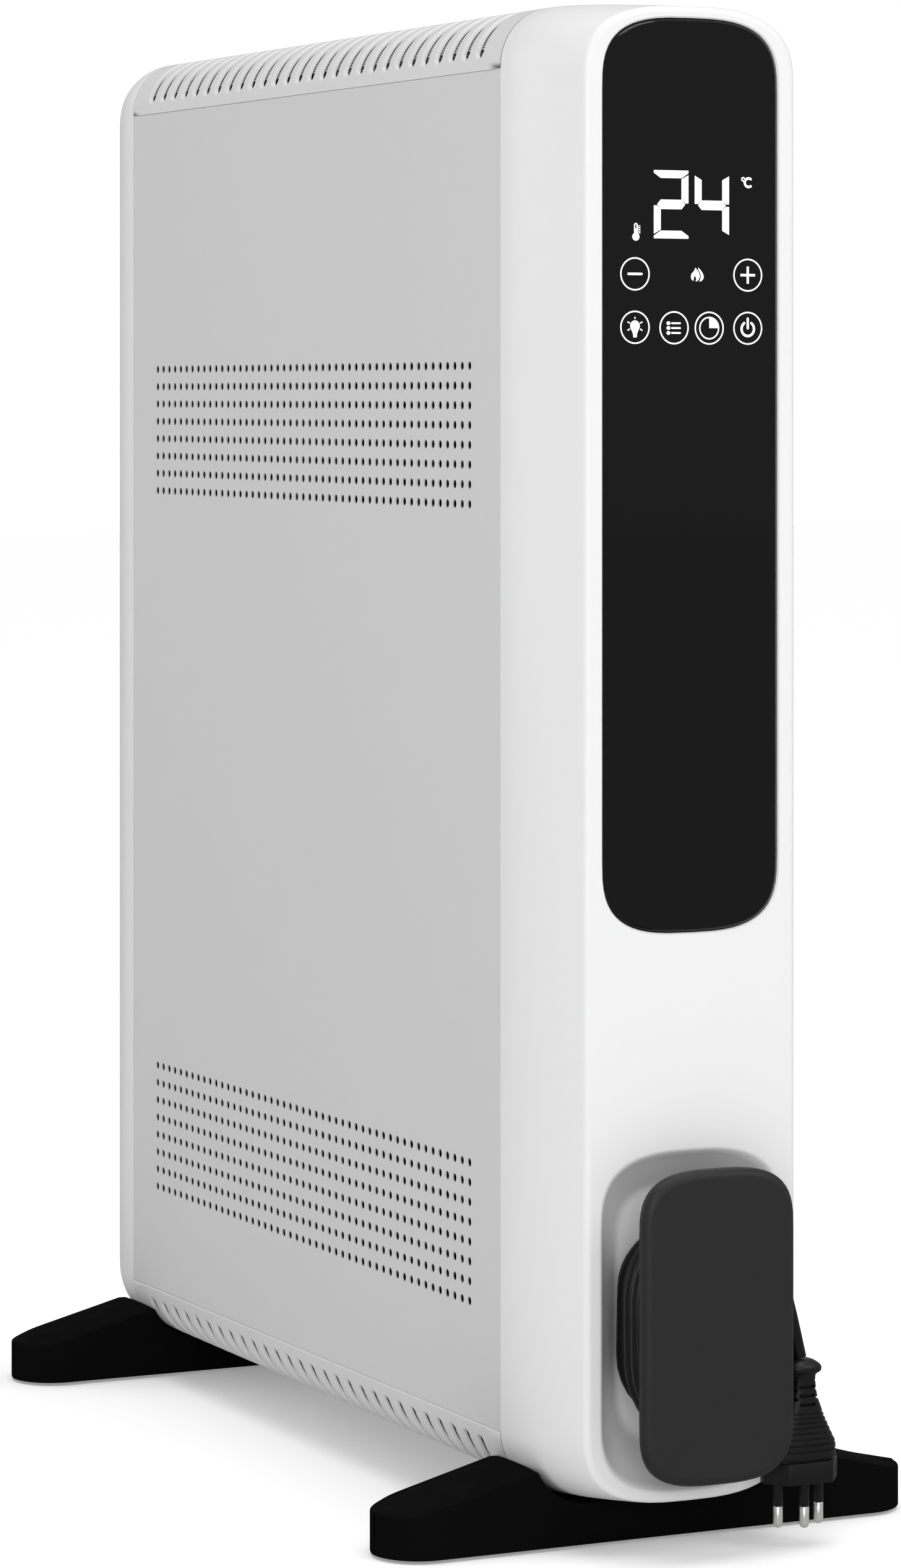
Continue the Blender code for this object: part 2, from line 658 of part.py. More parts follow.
def make_controls(glass, rubber, board, black, white):
    front = FACE_Y - GLASS_PROUD
    pane = solid_plate("control_glass", [glass_outline()], front, front + GLASS_THICK, glass)
    weigh_edges(pane, lambda place: place.y < front + WELD)
    bevel(pane, GLASS_BEVEL, 1, weighted=True)
    floor = front + GLASS_THICK
    inner = floor + 2.8 * MM + GAP
    plate("glass_gasket", [glass_outline(WINDOW_MARGIN + 0.5 * MM), glass_outline(WINDOW_MARGIN + 2.5 * MM)],
          floor + GAP, floor + 2.4 * MM, rubber)
    module = box("display_module", (-22 * MM, floor + GAP, 455 * MM), (22 * MM, floor + 5 * MM, 575 * MM),
                 white)
    bevel(module, 0.5 * MM)
    box("touch_board", (-33.5 * MM, floor + 5.4 * MM, 400 * MM), (33.5 * MM, floor + 7 * MM, 600 * MM), board)
    box("power_board", (-30 * MM, inner + 12 * MM, 268 * MM), (30 * MM, inner + 13.6 * MM, 380 * MM), board)
    relay = box("power_relay", (-8 * MM, inner + 14 * MM, 330 * MM), (12 * MM, inner + 29 * MM, 358 * MM),
                black)
    bevel(relay, 0.8 * MM)
    turned("room_sensor", ((0, 1.6 * MM), (7 * MM, 2.4 * MM), (9 * MM, 1.4 * MM)),
           (0, FRONT_SEAM - 4.6 * MM, CASE_LOW + WALL + 1 * MM), "Z", black, 10)


def make_tilt_switch(black, brass):
    """The tip-over switch: a weight that hangs on a pin and swings across the heater when it leans."""
    pivot = TILT_PIVOT
    housing = box("tilt_switch_housing", pivot + Vector((-18 * MM, -5.9 * MM, -25 * MM)),
                  pivot + Vector((18 * MM, 4 * MM, 8 * MM)), black)
    combine(housing, box("tilt_switch_room", pivot + Vector((-16.2 * MM, -3.9 * MM, -30 * MM)),
                         pivot + Vector((16.2 * MM, 9 * MM, 6 * MM))))
    pin = turned("tilt_pin", ((-5 * MM, 1.2 * MM), (3.6 * MM, 1.2 * MM)), pivot, "Y", None, 12)
    combine(housing, pin, "UNION")
    arm = box("tilt_switch_pendulum", (-2.2 * MM, -2 * MM, -TILT_ARM), (2.2 * MM, 2 * MM, 3.4 * MM), brass)
    combine(arm, turned("tilt_weight", ((-2.8 * MM, 5 * MM), (2.8 * MM, 5 * MM)), (0, 0, -TILT_ARM), "Y", None, 16),
            "UNION")
    combine(arm, turned("tilt_bore", ((-6 * MM, 1.5 * MM), (6 * MM, 1.5 * MM)), (0, 0, 0), "Y", None, 12))
    hinge = bpy.data.objects.new("tilt_switch_axis", None)
    hinge.empty_display_size = 10 * MM
    hinge.location = pivot
    parts.objects.link(hinge)
    arm.parent = hinge
    for name in ("tilt_weight", "tilt_bore"):
        bpy.data.objects[name].parent = hinge


def make_wiring(blue, brown):
    """The two leads from the power board down to the element's terminals."""
    front = HEADERS_FRONT
    leads = ("element_lead_live", -20 * MM, brown), ("element_lead_neutral", 20 * MM, blue)
    for name, x, material in leads:
        inward = -math.copysign(1, x)
        route = [Vector((x, -216.4 * MM, 276 * MM)), Vector((x, -214.5 * MM, 262 * MM)),
                 Vector((x, -205 * MM, 238 * MM)),
                 Vector((x * 1.1, -197 * MM, 205 * MM)), Vector((x * 1.15, -194 * MM, 165 * MM)),
                 Vector((x * 1.1, -191.5 * MM, 130 * MM)), Vector((x * 0.95, front - 10 * MM, 106 * MM)),
                 Vector((x * 0.62 - inward * 2 * MM, front - 11 * MM, 94 * MM)),
                 Vector((-inward * 9.7 * MM, front - 11 * MM, 91 * MM))]
        cord_curve(name, smooth_route(route, 2), 2.6 * MM, material)


# --- cord bay ------------------------------------------------------------------------------------

def winding_outline(radius, steps=8):
    return outline(radius, WIND_LOW - radius, WIND_HIGH + radius, radius, radius, 2.0, steps)


def make_cover(black):
    back = PLATE_FRONT + PLATE_THICK
    shape = outline(PLATE_HALF, PLATE_LOW, PLATE_HIGH, PLATE_HALF, PLATE_CORNER, PLATE_POWER)
    cover = solid_plate("cord_cover_plate", [shape], PLATE_FRONT, back, black)
    weigh_edges(cover, lambda place: place.y < PLATE_FRONT + WELD)
    bevel(cover, PLATE_EDGE, 4, weighted=True)
    plate("cord_winder_hub", [winding_outline(HUB_HALF)], back + GAP, FACE_Y + DISH_DEEP - GAP, black)


def make_cord(black):
    turned("cord_gland", (
        (GLAND_TIP, 3.9 * MM), (GLAND_TOP - 6 * MM, GLAND_RADIUS), (GLAND_TOP + 4 * MM, GLAND_RADIUS)),
        (GLAND_X, GLAND_Y, 0), "Z", black, 16)
    high = GLAND_TIP - GAP
    lead = [Vector((GLAND_X, GLAND_Y, high - (high - LEAD_END) * i / 2)) for i in range(3)]
    cord_curve("cord_lead", lead, CORD, black)
    half = CORD / 2
    coil_back, coil_front = INNER_Y[0] + half, INNER_Y[1] - half
    coil = solid_plate("cord_coil", [winding_outline(INNER_LAYER + half)], coil_front, coil_back, black)
    wide = [winding_outline(OUTER_LAYER + half)]
    outer = solid_plate("cord_coil_outer", wide, coil_front, OUTER_BACK + half)
    combine(coil, outer, "UNION")
    bore = [winding_outline(HUB_HALF + GAP)]
    combine(coil, solid_plate("cord_coil_bore", bore, coil_front - 1 * MM, coil_back + 1 * MM))
    start = box("cord_coil_start", (INNER_LAYER - half - GAP, GLAND_Y - half - GAP, WIND_HIGH),
                (INNER_LAYER + 12 * MM, coil_back + 1 * MM, WIND_HIGH + 40 * MM))
    combine(coil, start)
    route = smooth_route([Vector(p) * MM for p in CORD_TAIL])
    leaving = mesh_of(cord_curve("cord_coil_leaving_guide", route, CORD + 3 * GAP, None), is_flat=False)
    combine(coil, place_object("cord_coil_leaving", leaving, None))
    cord_curve("cord_tail", route[1:], CORD, black)


def make_plug(black, nickel):
    rings = []
    for height, half_x, half_y in PLUG_SECTIONS:
        ring = []
        for i in range(20):
            angle = 2 * math.pi * (i + 0.5) / 20
            cos, sin = math.cos(angle), math.sin(angle)
            ring.append((PLUG_X + half_x * MM * math.copysign(abs(cos) ** 0.7, cos),
                         PLUG_Y + half_y * MM * math.copysign(abs(sin) ** 0.7, sin), height * MM))
        rings.append(ring)
    plug = loft("plug_body", rings, black)
    low, high = PLUG_BASE
    front, side, back = PLUG_Y - 8.5 * MM, PLUG_Y + 2.8 * MM, PLUG_Y + 8.3 * MM
    flat = ((-PLUG_FRONT_HALF, front), (PLUG_FRONT_HALF, front), (PLUG_SIDE_HALF, side - 2 * MM),
            (PLUG_SIDE_HALF, side + 1 * MM), (PLUG_BACK_HALF, back), (-PLUG_BACK_HALF, back),
            (-PLUG_SIDE_HALF, side + 1 * MM), (-PLUG_SIDE_HALF, side - 2 * MM))
    guide = place_object("plug_base_guide", flat_curve("plug_base_guide", [flat], high - low), None)
    guide.location = (PLUG_X, 0, (low + high) / 2)
    combine(plug, place_object("plug_base", mesh_of(guide), None), "UNION")
    pins = ("live", -PIN_SPREAD, side), ("neutral", PIN_SPREAD, side), ("earth", 0, side - EARTH_OFFSET)
    for name, x, y in pins:
        place = (PLUG_X + x, y, 0)
        sleeve = ((SLEEVE_END, PIN_RADIUS), (low + 1 * MM, PIN_RADIUS))
        combine(plug, turned(f"plug_sleeve_{name}", sleeve, place, "Z", None, 12), "UNION")
        bore = ((SLEEVE_END - 1 * MM, 1.45 * MM), (high - 4 * MM, 1.45 * MM))
        combine(plug, turned(f"plug_bore_{name}", bore, place, "Z", None, 12))
        turned(f"plug_pin_{name}", (
            (PIN_TIP, 0.7 * MM), (PIN_TIP + 0.5 * MM, 1.5 * MM), (PIN_TIP + 1.6 * MM, PIN_RADIUS),
            (SLEEVE_END - GAP, PIN_RADIUS), (SLEEVE_END - GAP + 0.05 * MM, 1.15 * MM),
            (high - 4.4 * MM, 1.15 * MM)),
            place, "Z", nickel, 12)


# --- the whole heater ----------------------------------------------------------------------------

clear_scene()
parts = new_collection("oil_filled_radiator", bpy.context.scene.collection)
cutters = new_collection("cutters", bpy.context.scene.collection)

case_paint = make_material("case_paint", (0.86, 0.86, 0.86), 0.38)
panel_paint = make_material("panel_paint", (0.84, 0.84, 0.84), 0.42)
grille_plastic = make_material("grille_plastic", (0.84, 0.84, 0.84), 0.45)
foot_plastic = make_material("foot_plastic", (0.012, 0.012, 0.012), 0.5)
glass_black = make_material("glass_black", (0.01, 0.01, 0.01), 0.06)
cover_plastic = make_material("cover_plastic", (0.03, 0.03, 0.03), 0.55)
cord_rubber = make_material("cord_rubber", (0.01, 0.01, 0.01), 0.5)
plug_plastic = make_material("plug_plastic", (0.015, 0.015, 0.015), 0.5)
pin_nickel = make_material("pin_nickel", (0.75, 0.75, 0.74), 0.22, 1.0)
pad_rubber = make_material("pad_rubber", (0.02, 0.02, 0.02), 0.8)
screw_steel = make_material("screw_steel", (0.55, 0.55, 0.55), 0.35, 1.0)
zinc_sheet = make_material("zinc_sheet", (0.5, 0.5, 0.5), 0.45, 1.0)
column_paint = make_material("column_paint", (0.03, 0.03, 0.031), 0.55)
terminal_brass = make_material("terminal_brass", (0.6, 0.45, 0.2), 0.35, 1.0)
inner_black = make_material("inner_black", (0.02, 0.02, 0.02), 0.5)
inner_white = make_material("inner_white", (0.6, 0.6, 0.57), 0.5)
board_green = make_material("board_green", (0.02, 0.16, 0.06), 0.45)
lead_blue = make_material("lead_blue", (0.02, 0.08, 0.4), 0.5)
lead_brown = make_material("lead_brown", (0.16, 0.06, 0.02), 0.5)

make_front_cap(case_paint)
make_rear_cap(case_paint)
make_rear_screws(screw_steel)
make_side_panel("left_side_panel", -1, panel_paint)
make_side_panel("right_side_panel", 1, panel_paint)
make_grille("top_grille", 1, grille_plastic)
make_grille("bottom_grille", -1, grille_plastic)
for end in ("front", "rear"):
    make_foot(f"{end}_foot", end, foot_plastic)
    make_foot_fittings(end, pad_rubber, screw_steel, zinc_sheet)
for number in range(1, COLUMNS + 1):
    make_column(number, column_paint)
make_bulkhead("front_bulkhead", HEADERS_FRONT + 4 * MM, zinc_sheet)
make_bulkhead("rear_bulkhead", HEADERS_REAR - 4 * MM, zinc_sheet)
make_heating_parts(screw_steel, terminal_brass, inner_black, inner_white)
make_controls(glass_black, pad_rubber, board_green, inner_black, inner_white)
make_tilt_switch(inner_black, terminal_brass)
make_wiring(lead_blue, lead_brown)
make_cover(cover_plastic)
make_cord(cord_rubber)
make_plug(plug_plastic, pin_nickel)
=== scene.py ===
"""The looks of the oil filled radiator heater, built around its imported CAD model.

Metres, +Z up. The end with the glass and the wound cord faces -Y and the feet run along X.
"""

import json
import math

import bmesh
import bpy
from mathutils import Matrix, Vector


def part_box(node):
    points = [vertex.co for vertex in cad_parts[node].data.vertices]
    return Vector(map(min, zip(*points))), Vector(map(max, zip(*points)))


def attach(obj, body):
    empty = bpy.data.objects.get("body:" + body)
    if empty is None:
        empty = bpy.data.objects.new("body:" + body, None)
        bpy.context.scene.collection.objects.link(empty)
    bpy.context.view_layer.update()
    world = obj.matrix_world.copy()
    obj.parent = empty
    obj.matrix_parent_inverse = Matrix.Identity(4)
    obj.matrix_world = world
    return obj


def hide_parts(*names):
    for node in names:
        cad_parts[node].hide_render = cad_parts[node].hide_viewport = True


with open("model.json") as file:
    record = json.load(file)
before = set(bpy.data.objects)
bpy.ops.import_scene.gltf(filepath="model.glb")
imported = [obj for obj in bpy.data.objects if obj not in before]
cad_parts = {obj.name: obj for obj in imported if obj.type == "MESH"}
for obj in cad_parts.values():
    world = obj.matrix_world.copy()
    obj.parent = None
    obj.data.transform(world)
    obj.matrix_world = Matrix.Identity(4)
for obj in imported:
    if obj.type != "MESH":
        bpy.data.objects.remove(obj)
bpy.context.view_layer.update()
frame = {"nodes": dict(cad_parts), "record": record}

MM = 0.001
WELD = 0.001 * MM
HEATER = "heater"

# Places and sizes that come from the CAD nodes
CAP_LOW, CAP_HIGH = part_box("front_cap")
REAR_LOW, REAR_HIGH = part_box("rear_cap")
PANEL_LOW_CORNER, PANEL_HIGH_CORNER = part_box("left_side_panel")
GLASS_LOW_CORNER, GLASS_HIGH_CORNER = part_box("control_glass")
PLATE_LOW_CORNER, PLATE_HIGH_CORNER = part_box("cord_cover_plate")
HALF_WIDTH = CAP_HIGH.x
CASE_LOW, CASE_HIGH = CAP_LOW.z, CAP_HIGH.z
FACE_Y, REAR_FACE_Y = CAP_LOW.y, REAR_HIGH.y
FRONT_SEAM, REAR_SEAM = CAP_HIGH.y, REAR_LOW.y
PANEL_LOW, PANEL_HIGH = PANEL_LOW_CORNER.z, PANEL_HIGH_CORNER.z
PANEL_FRONT, PANEL_REAR = PANEL_LOW_CORNER.y, PANEL_HIGH_CORNER.y

# Case
CORNER = 25 * MM
ARCH_HALF = CORNER * math.pi / 2 + HALF_WIDTH - CORNER
WALL = 2.4 * MM
FACE_HALF = 47.9 * MM
FACE_TOP_DROP = 2.2 * MM
FACE_CORNER_HIGH = 32 * MM
FACE_POWER = 2.8
CAP_EDGE = 2.4 * MM

# Control glass
GLASS_CORNER = 30 * MM
GLASS_POWER = 3.1
GLASS_CHAMFER = 1 * MM

# Cord bay
DISH_HALF = 40 * MM
DISH_LOW = 26.6 * MM
DISH_HIGH = 162.8 * MM
DISH_DEEP = 22 * MM
DISH_SLOPE = 16.4 * MM
DISH_CORNER = 30 * MM
DISH_POWER = 2.9
DISH_RIM = 2 * MM
PLATE_CORNER = 26 * MM
PLATE_POWER = 3.1
PLATE_EDGE = 3.8 * MM

# Cord: straight down from its gland, wound clockwise round the hub, and out to the plug
CORD = 6.2 * MM
WIND_LOW = 82 * MM
WIND_HIGH = 106 * MM
INNER_LAYER = 26.7 * MM
OUTER_LAYER = 32.9 * MM
WIND_BACK = -226 * MM
WIND_STEP = -7.05 * MM
INNER_TURNS = 4
CHANGE_TURNS = 0.5
CORD_TAIL = (
    (16.4, -246.0, 134.5), (22.4, -246.2, 130.1), (27.9, -246.3, 124.6), (32.2, -246.4, 118.4),
    (35.5, -246.6, 111.6), (38.0, -246.8, 104.6), (40.0, -247.0, 97.4), (41.8, -247.1, 90.2),
    (43.5, -247.2, 83.0), (44.8, -247.3, 77.5),
)
GLAND_RIBS = 7
GLAND_NECK = 3.4 * MM
PLUG_X = 46 * MM
PLUG_Y = -247.3 * MM

# Side panels with their vent holes, and slots in the grilles
PANEL_SHEET = 0.6 * MM
PANEL_TURN = 0.3 * MM
PANEL_FOLD = 9 * MM
HOLE_COLUMNS = 49
HOLE_ROWS = 8
HOLE_PITCH = Vector((0, 7.111 * MM, 8.25 * MM))
HOLE_RADIUS = 1.85 * MM
HOLE_BLOCKS = (93.15 * MM, 425.15 * MM)  # the lowest row of each block
HOLES_MIDDLE = 18.1 * MM
SLOTS = 28
SLOT_PITCH = 13.25 * MM
SLOT_HALF = 2.8 * MM
SLOT_ROUND = 1.6 * MM
GRILLE_SHEET = 1.7 * MM
SLOT_FROM_EDGE = 6 * MM
SLOT_STATIONS = 26
SLOT_END_STEPS = 12
SPINE_HALF = 4 * MM
SEAM = 0.12 * MM
GUARD_START = 10.6 * MM
GUARD_PITCH = 1.26 * MM
GUARD_BAR = 0.72 * MM
GUARD_DEEP = (2.2 * MM, 3.0 * MM)


# --- objects -------------------------------------------------------------------------------------

def node_middle(name):
    low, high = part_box(name)
    return (low + high) / 2


def link_object(name, data):
    made = bpy.data.objects.new(name, data)
    bpy.context.scene.collection.objects.link(made)
    return made


def finish_object(name, mesh, slot, sharp=None, replaced=None, material=None, weighted=False):
    """A piece riding on the heater in its slot's material, smooth but for edges sharper than the angle."""
    made = link_object(name, mesh)
    mesh.materials.append(material or MATERIALS[slot])
    if sharp is not None:
        mesh.shade_smooth()
        mesh.set_sharp_from_angle(angle=math.radians(sharp))
    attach(made, HEATER)
    if weighted:
        weigh_normals(made)
    if replaced:
        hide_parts(replaced)
    return made


def weld(mesh):
    """Merges points that meet and turns the faces outwards."""
    work = bmesh.new()
    work.from_mesh(mesh)
    bmesh.ops.remove_doubles(work, verts=work.verts, dist=WELD)
    bmesh.ops.recalc_face_normals(work, faces=work.faces)
    work.to_mesh(mesh)
    work.free()
    return mesh


def evaluated_mesh(holder):
    bpy.context.view_layer.update()
    graph = bpy.context.evaluated_depsgraph_get()
    return bpy.data.meshes.new_from_object(holder.evaluated_get(graph))


def mesh_from(name, points, faces):
    mesh = bpy.data.meshes.new(name)
    mesh.from_pydata([tuple(p) for p in points], [], faces)
    return weld(mesh)


def polar(radius, degrees, x=0.0, z=0.0):
    angle = math.radians(degrees)
    return x + radius * math.cos(angle), z + radius * math.sin(angle)


def outline(half, low, high, corner_x, corner_z, power=2.0, steps=14):
    """(x, z) points of an upright with four rounded corners, each a quarter of a superellipse."""
    made = []
    for side, end in ((1, 1), (-1, 1), (-1, -1), (1, -1)):
        arc = []
        for i in range(steps + 1):
            angle = 0.5 * math.pi * i / steps
            across = half - corner_x + corner_x * math.cos(angle) ** (2 / power)
            along = corner_z * (1 - abs(math.sin(angle)) ** (2 / power))
            arc.append((side * across, high - along if end > 0 else low + along))
        made += arc if side * end > 0 else arc[::-1]
    return made


def circle(x, z, radius, sides=14):
    return [polar(radius, 360 * i / sides, x, z) for i in range(sides)]


def at_y(shape, y):
    return [(x, y, z) for x, z in shape]


def ring_faces(rings, count, close_ends=True):
    faces = []
    if close_ends:
        faces = [list(range(count)), list(range((rings - 1) * count, rings * count))]
    for r in range(rings - 1):
        for i in range(count):
            j = (i + 1) % count
            faces.append((r * count + i, r * count + j, (r + 1) * count + j, (r + 1) * count + i))
    return faces


def loft_mesh(name, rings, close_ends=True):
    points = [p for ring in rings for p in ring]
    return mesh_from(name, points, ring_faces(len(rings), len(rings[0]), close_ends))


def lathe_mesh(name, profile, place, axis="Z", sides=48):
    """A solid of revolution: profile is (along, radius) pairs, from one end of the axis to the other."""
    turn = Matrix.Rotation(math.radians(-90), 4, "X") if axis == "Y" else Matrix()
    rings = []
    for along, radius in profile:
        rings.append([turn @ Vector((x, y, along)) + Vector(place) for x, y in circle(0, 0, radius, sides)])
    return loft_mesh(name, rings)


def cut(target, others, operation="DIFFERENCE"):
    """The target mesh after a Boolean with each of the other meshes in turn."""
    holder = link_object("holder", target)
    tools = []
    for other in others:
        tool = link_object("tool", other)
        tools.append(tool)
        modifier = holder.modifiers.new("cut", "BOOLEAN")
        modifier.operation = operation
        modifier.solver = "EXACT"
        modifier.object = tool
    result = evaluated_mesh(holder)
    for unwanted in [holder] + tools:
        bpy.data.objects.remove(unwanted)
    return result


def box_mesh(low, high):
    corners = [(x, y, z) for z in (low[2], high[2]) for y in (low[1], high[1]) for x in (low[0], high[0])]
    faces = [(0, 2, 3, 1), (4, 5, 7, 6), (0, 1, 5, 4), (2, 6, 7, 3), (0, 4, 6, 2), (1, 3, 7, 5)]
    return mesh_from("box", corners, faces)


def paint_inside_shade(thing, is_inside):
    """Painted shade: the faces that only the inside of the case sees get a dark grey, which stands in for the
    shade inside the case so that holes and slots look dark.
    """
    thing.data.materials.append(MATERIALS["inside_shade_grey"])
    for face in thing.data.polygons:
        if is_inside(face):
            face.material_index = 1


def weigh_normals(thing):
    """Large flat faces keep their own shading, and the rounding beside them takes up the turn."""
    modifier = thing.modifiers.new("weighted", "WEIGHTED_NORMAL")
    modifier.keep_sharp = True
    modifier.weight = 80


def flat_shape(name, splines, depth):
    """A mesh of flat outlines in the X-Z plane, filled between them, half its depth to each side of y = 0."""
    curve = bpy.data.curves.new(name, "CURVE")
    curve.dimensions = "2D"
    curve.fill_mode = "BOTH"
    curve.extrude = depth / 2
    for points in splines:
        spline = curve.splines.new("POLY")
        spline.points.add(len(points) - 1)
        spline.use_cyclic_u = True
        for place, (x, z) in zip(spline.points, points):
            place.co = (x, z, 0, 1)
    holder = link_object(name, curve)
    mesh = evaluated_mesh(holder)
    bpy.data.objects.remove(holder)
    mesh.transform(Matrix.Rotation(math.radians(90), 4, "X"))
    return weld(mesh)


def join_meshes(name, meshes):
    work = bmesh.new()
    for mesh in meshes:
        work.from_mesh(mesh)
    joined = bpy.data.meshes.new(name)
    work.to_mesh(joined)
    work.free()
    return joined


def smooth_route(route, per_step=4):
    """Points on a Catmull-Rom curve through the route."""
    ends = [2 * route[0] - route[1]] + route + [2 * route[-1] - route[-2]]
    made = []
    for a, b, c, d in zip(ends, ends[1:], ends[2:], ends[3:]):
        for i in range(per_step):
            t = i / per_step
            made.append(0.5 * (2 * b + (c - a) * t + (2 * a - 5 * b + 4 * c - d) * t * t
                               + (3 * b - a - 3 * c + d) * t ** 3))
    return made + [route[-1]]


# --- materials -----------------------------------------------------------------------------------

class Paint:
    """A Principled material whose colour, roughness and bump come from noise in object space."""

    def __init__(self, name, colour, roughness, metallic=0.0, **more):
        self.material = bpy.data.materials.new(name)
        self.material.use_nodes = True
        self.tree = self.material.node_tree
        self.shader = self.tree.nodes["Principled BSDF"]
        self.colour = colour
        self.set_socket("Base Color", (*colour, 1))
        self.set_socket("Roughness", roughness)
        self.set_socket("Metallic", metallic)
        for key, value in more.items():
            self.set_socket(key.replace("_", " "), value)
        self.material.diffuse_color = (*colour, 1)
        self.where = self.tree.nodes.new("ShaderNodeTexCoord")

    def node(self, kind, **values):
        made = self.tree.nodes.new(kind)
        for key, value in values.items():
            if hasattr(made, key):
                setattr(made, key, value)
            else:
                made.inputs[key.replace("_", " ")].default_value = value
        return made

    def join(self, source, target):
        self.tree.links.new(source, target)

    def set_socket(self, name, value):
        self.shader.inputs[name].default_value = value

    def mapped(self, scale):
        mapping = self.node("ShaderNodeMapping", Scale=scale)
        self.join(self.where.outputs["Object"], mapping.inputs["Vector"])
        return mapping.outputs["Vector"]

    def noise(self, scale, detail=3.0, stretch=(1, 1, 1)):
        noise = self.node("ShaderNodeTexNoise", Scale=scale, Detail=detail)
        self.join(self.mapped(stretch), noise.inputs["Vector"])
        return noise.outputs["Fac"]

    def cells(self, scale, feature="F1"):
        cells = self.node("ShaderNodeTexVoronoi", feature=feature, Scale=scale)
        self.join(self.where.outputs["Object"], cells.inputs["Vector"])
        return cells

    def spread(self, factor, low, high, start=0.3, end=0.7):
        """The factor between start and end, remapped to low..high."""
        mapped = self.node("ShaderNodeMapRange", From_Min=start, From_Max=end, To_Min=low, To_Max=high)
        self.join(factor, mapped.inputs["Value"])
        return mapped.outputs["Result"]

    def tint(self, factor, other, low=0.0, high=1.0, start=0.3, end=0.7):
        """The base colour wanders towards the other colour by low to high."""
        mix = self.node("ShaderNodeMix", data_type="RGBA", A=(*self.colour, 1), B=(*other, 1))
        self.join(self.spread(factor, low, high, start, end), mix.inputs["Factor"])
        self.join(mix.outputs["Result"], self.shader.inputs["Base Color"])
        return self

    def rough(self, factor, low, high):
        self.join(self.spread(factor, low, high), self.shader.inputs["Roughness"])
        return self

    def bump(self, factor, distance, strength=1.0):
        bump = self.node("ShaderNodeBump", Strength=strength, Distance=distance)
        before = self.shader.inputs["Normal"]
        if before.is_linked:
            self.join(before.links[0].from_socket, bump.inputs["Normal"])
        self.join(factor, bump.inputs["Height"])
        self.join(bump.outputs["Normal"], before)
        return self


def mix_shaders(tree, factor, first, second):
    """The first shader where the factor is 0, and the second where it is 1."""
    mix = tree.nodes.new("ShaderNodeMixShader")
    for place, source in enumerate((factor, first, second)):
        tree.links.new(source, mix.inputs[place])
    return mix.outputs["Shader"]


def mixed(colour, amount, other=(0, 0, 0)):
    return tuple(a + (b - a) * amount for a, b in zip(colour, other))


def make_case_paint(name, colour, grain, roughness):
    paint = Paint(name, colour, roughness, IOR=1.46)
    paint.tint(paint.noise(9, 2), mixed(colour, 0.035, (0.7, 0.68, 0.62)))
    paint.rough(paint.noise(60, 3), roughness - 0.04, roughness + 0.05)
    paint.bump(paint.noise(grain, 2), 0.00002, 0.35)
    return paint.material


def make_grained(name, colour, roughness, grain=2600, depth=0.00003, other=None, shine=0.5, ior=1.5):
    paint = Paint(name, colour, roughness, IOR=ior)
    paint.set_socket("Specular IOR Level", shine)
    worn = (other, other, other) if other else mixed(colour, 0.15, (0.4, 0.4, 0.4))
    paint.tint(paint.noise(45, 4), worn, 0.0, 0.35)
    paint.rough(paint.noise(130, 3), roughness - 0.06, roughness + 0.07)
    paint.bump(paint.cells(grain).outputs["Distance"], depth, 0.5)
    return paint.material


def make_glass_black():
    paint = Paint("glass_black", (0.0045, 0.0045, 0.0045), 0.05, IOR=1.5)
    paint.set_socket("Specular IOR Level", 0.27)
    paint.tint(paint.noise(30, 3), (0.0048, 0.0048, 0.005))
    paint.rough(paint.noise(14, 5), 0.035, 0.075)
    paint.bump(paint.noise(6, 1), 0.00002, 0.1)
    return paint.material


def make_ink():
    paint = Paint("glass_ink", (0.86, 0.86, 0.86), 0.3)
    paint.set_socket("Emission Color", (1, 0.99, 1, 1))
    paint.set_socket("Emission Strength", 0.42)
    paint.tint(paint.noise(400, 2), (0.8, 0.79, 0.81))
    return paint.material


def make_metal(name, colour, roughness, stretch=(1, 1, 12), scale=300, metallic=1.0):
    paint = Paint(name, colour, roughness, metallic)
    streaks = paint.noise(scale, 3, stretch)
    paint.tint(streaks, mixed(colour, 0.25), 0, 0.6)
    paint.rough(streaks, roughness - 0.05, roughness + 0.1)
    paint.bump(streaks, 0.00001, 0.25)
    return paint.material


def make_zinc():
    paint = Paint("zinc_sheet", (0.5, 0.51, 0.52), 0.42, 1.0)
    spangle = paint.cells(160)
    paint.tint(spangle.outputs["Color"], (0.36, 0.37, 0.39), 0, 0.8, 0.1, 0.9)
    paint.rough(paint.noise(220, 3), 0.34, 0.52)
    return paint.material


def make_cord_rubber():
    paint = Paint("cord_rubber", (0.0025, 0.0025, 0.0026), 0.38)
    paint.set_socket("Specular IOR Level", 0.3)
    paint.tint(paint.noise(160, 4), (0.006, 0.006, 0.006), 0, 0.5)
    paint.rough(paint.noise(90, 3), 0.32, 0.46)
    paint.bump(paint.noise(2200, 2), 0.00002, 0.3)
    return paint.material


def make_board():
    paint = Paint("board_green", (0.012, 0.11, 0.045), 0.35)
    tracks = paint.node("ShaderNodeTexBrick", Scale=60.0, Mortar_Size=0.06)
    paint.join(paint.where.outputs["Object"], tracks.inputs["Vector"])
    paint.tint(tracks.outputs["Fac"], (0.03, 0.26, 0.1), 0, 0.8, 0, 1)
    paint.rough(paint.noise(90, 3), 0.28, 0.45)
    return paint.material


